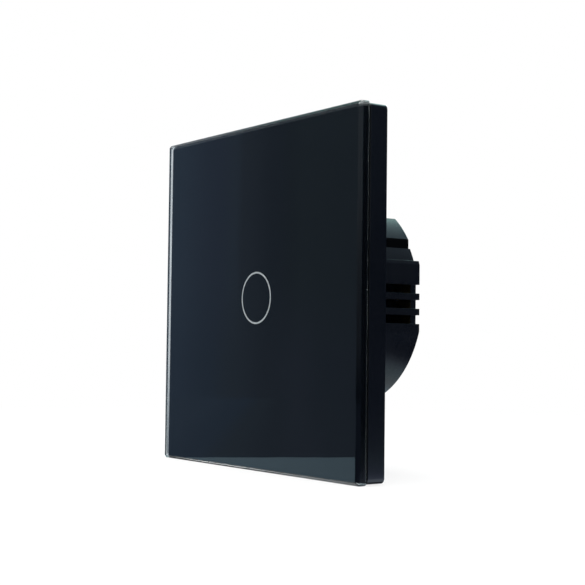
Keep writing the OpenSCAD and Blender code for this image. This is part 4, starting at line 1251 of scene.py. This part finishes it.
# The white world, which lights the switch less than it shows, and the lamps.
WORLD_LIGHT = 0.5
WORLD_SEEN = 1.0
LAMP_ABOVE = (0.0, -0.05, 0.7)
LAMP_LEFT = (-0.75, -0.1, 0.25)
world = bpy.data.worlds.new("studio_white")
scene.world = world
world.use_nodes = True
tree = world.node_tree
backdrop = tree.nodes["Background"]
backdrop.inputs["Color"].default_value = (1, 1, 1, 1)
seen = add_node(tree, "ShaderNodeLightPath")
direct = maths(tree, "MAXIMUM", seen.outputs["Is Camera Ray"], seen.outputs["Is Transmission Ray"])
either = maths(tree, "MAXIMUM", direct, seen.outputs["Is Glossy Ray"])
tree.links.new(spread(tree, either, WORLD_LIGHT, WORLD_SEEN), backdrop.inputs["Strength"])


def soft_lamp(name, place, width, height, power):
    """A rectangular lamp at a place, turned to shine at the switch."""
    data = bpy.data.lights.new(name, "AREA")
    data.shape = "RECTANGLE"
    data.size = width
    data.size_y = height
    data.energy = power
    lamp = bpy.data.objects.new(name, data)
    lamp.location = place
    lamp.rotation_euler = Vector(place).to_track_quat("Z", "Y").to_euler()
    scene.collection.objects.link(lamp)
    return lamp


soft_lamp("lamp_above", LAMP_ABOVE, width=0.6, height=0.6, power=7.0)
lamp_left = soft_lamp("lamp_left", LAMP_LEFT, width=0.5, height=0.5, power=4.0)
lamp_left.visible_glossy = False

# Camera
# Set from the picture's corners of the glass: to the right of the front, a little below its middle.
FOCAL_PIXELS = 1280.5
PICTURE_PIXELS = 585.0
SENSOR = 36.0
AZIMUTH = math.radians(54.737)
ELEVATION = math.radians(-2.484)
ROLL = math.radians(0.68)
DISTANCE = 300.5
ASIDE = 3.38
ABOVE = 1.27
CLIP_NEAR = 0.01
CLIP_FAR = 20.0
back = Vector((
    math.sin(AZIMUTH) * math.cos(ELEVATION), -math.cos(AZIMUTH) * math.cos(ELEVATION), math.sin(ELEVATION)
))
right = Vector((math.cos(AZIMUTH), math.sin(AZIMUTH), 0.0))
up = back.cross(right)
rolled_right = right * math.cos(ROLL) + up * math.sin(ROLL)
rolled_up = up * math.cos(ROLL) - right * math.sin(ROLL)
turned = Matrix((rolled_right, rolled_up, back)).transposed()
camera_data = bpy.data.cameras.new("camera")
camera_data.sensor_width = SENSOR
camera_data.lens = FOCAL_PIXELS / PICTURE_PIXELS * SENSOR
camera_data.clip_start = CLIP_NEAR
camera_data.clip_end = CLIP_FAR
camera = bpy.data.objects.new("camera", camera_data)
camera.location = (back * DISTANCE + right * ASIDE + up * ABOVE) * MM
camera.rotation_euler = turned.to_euler()
scene.collection.objects.link(camera)
scene.camera = camera
scene.view_settings.view_transform = "Standard"
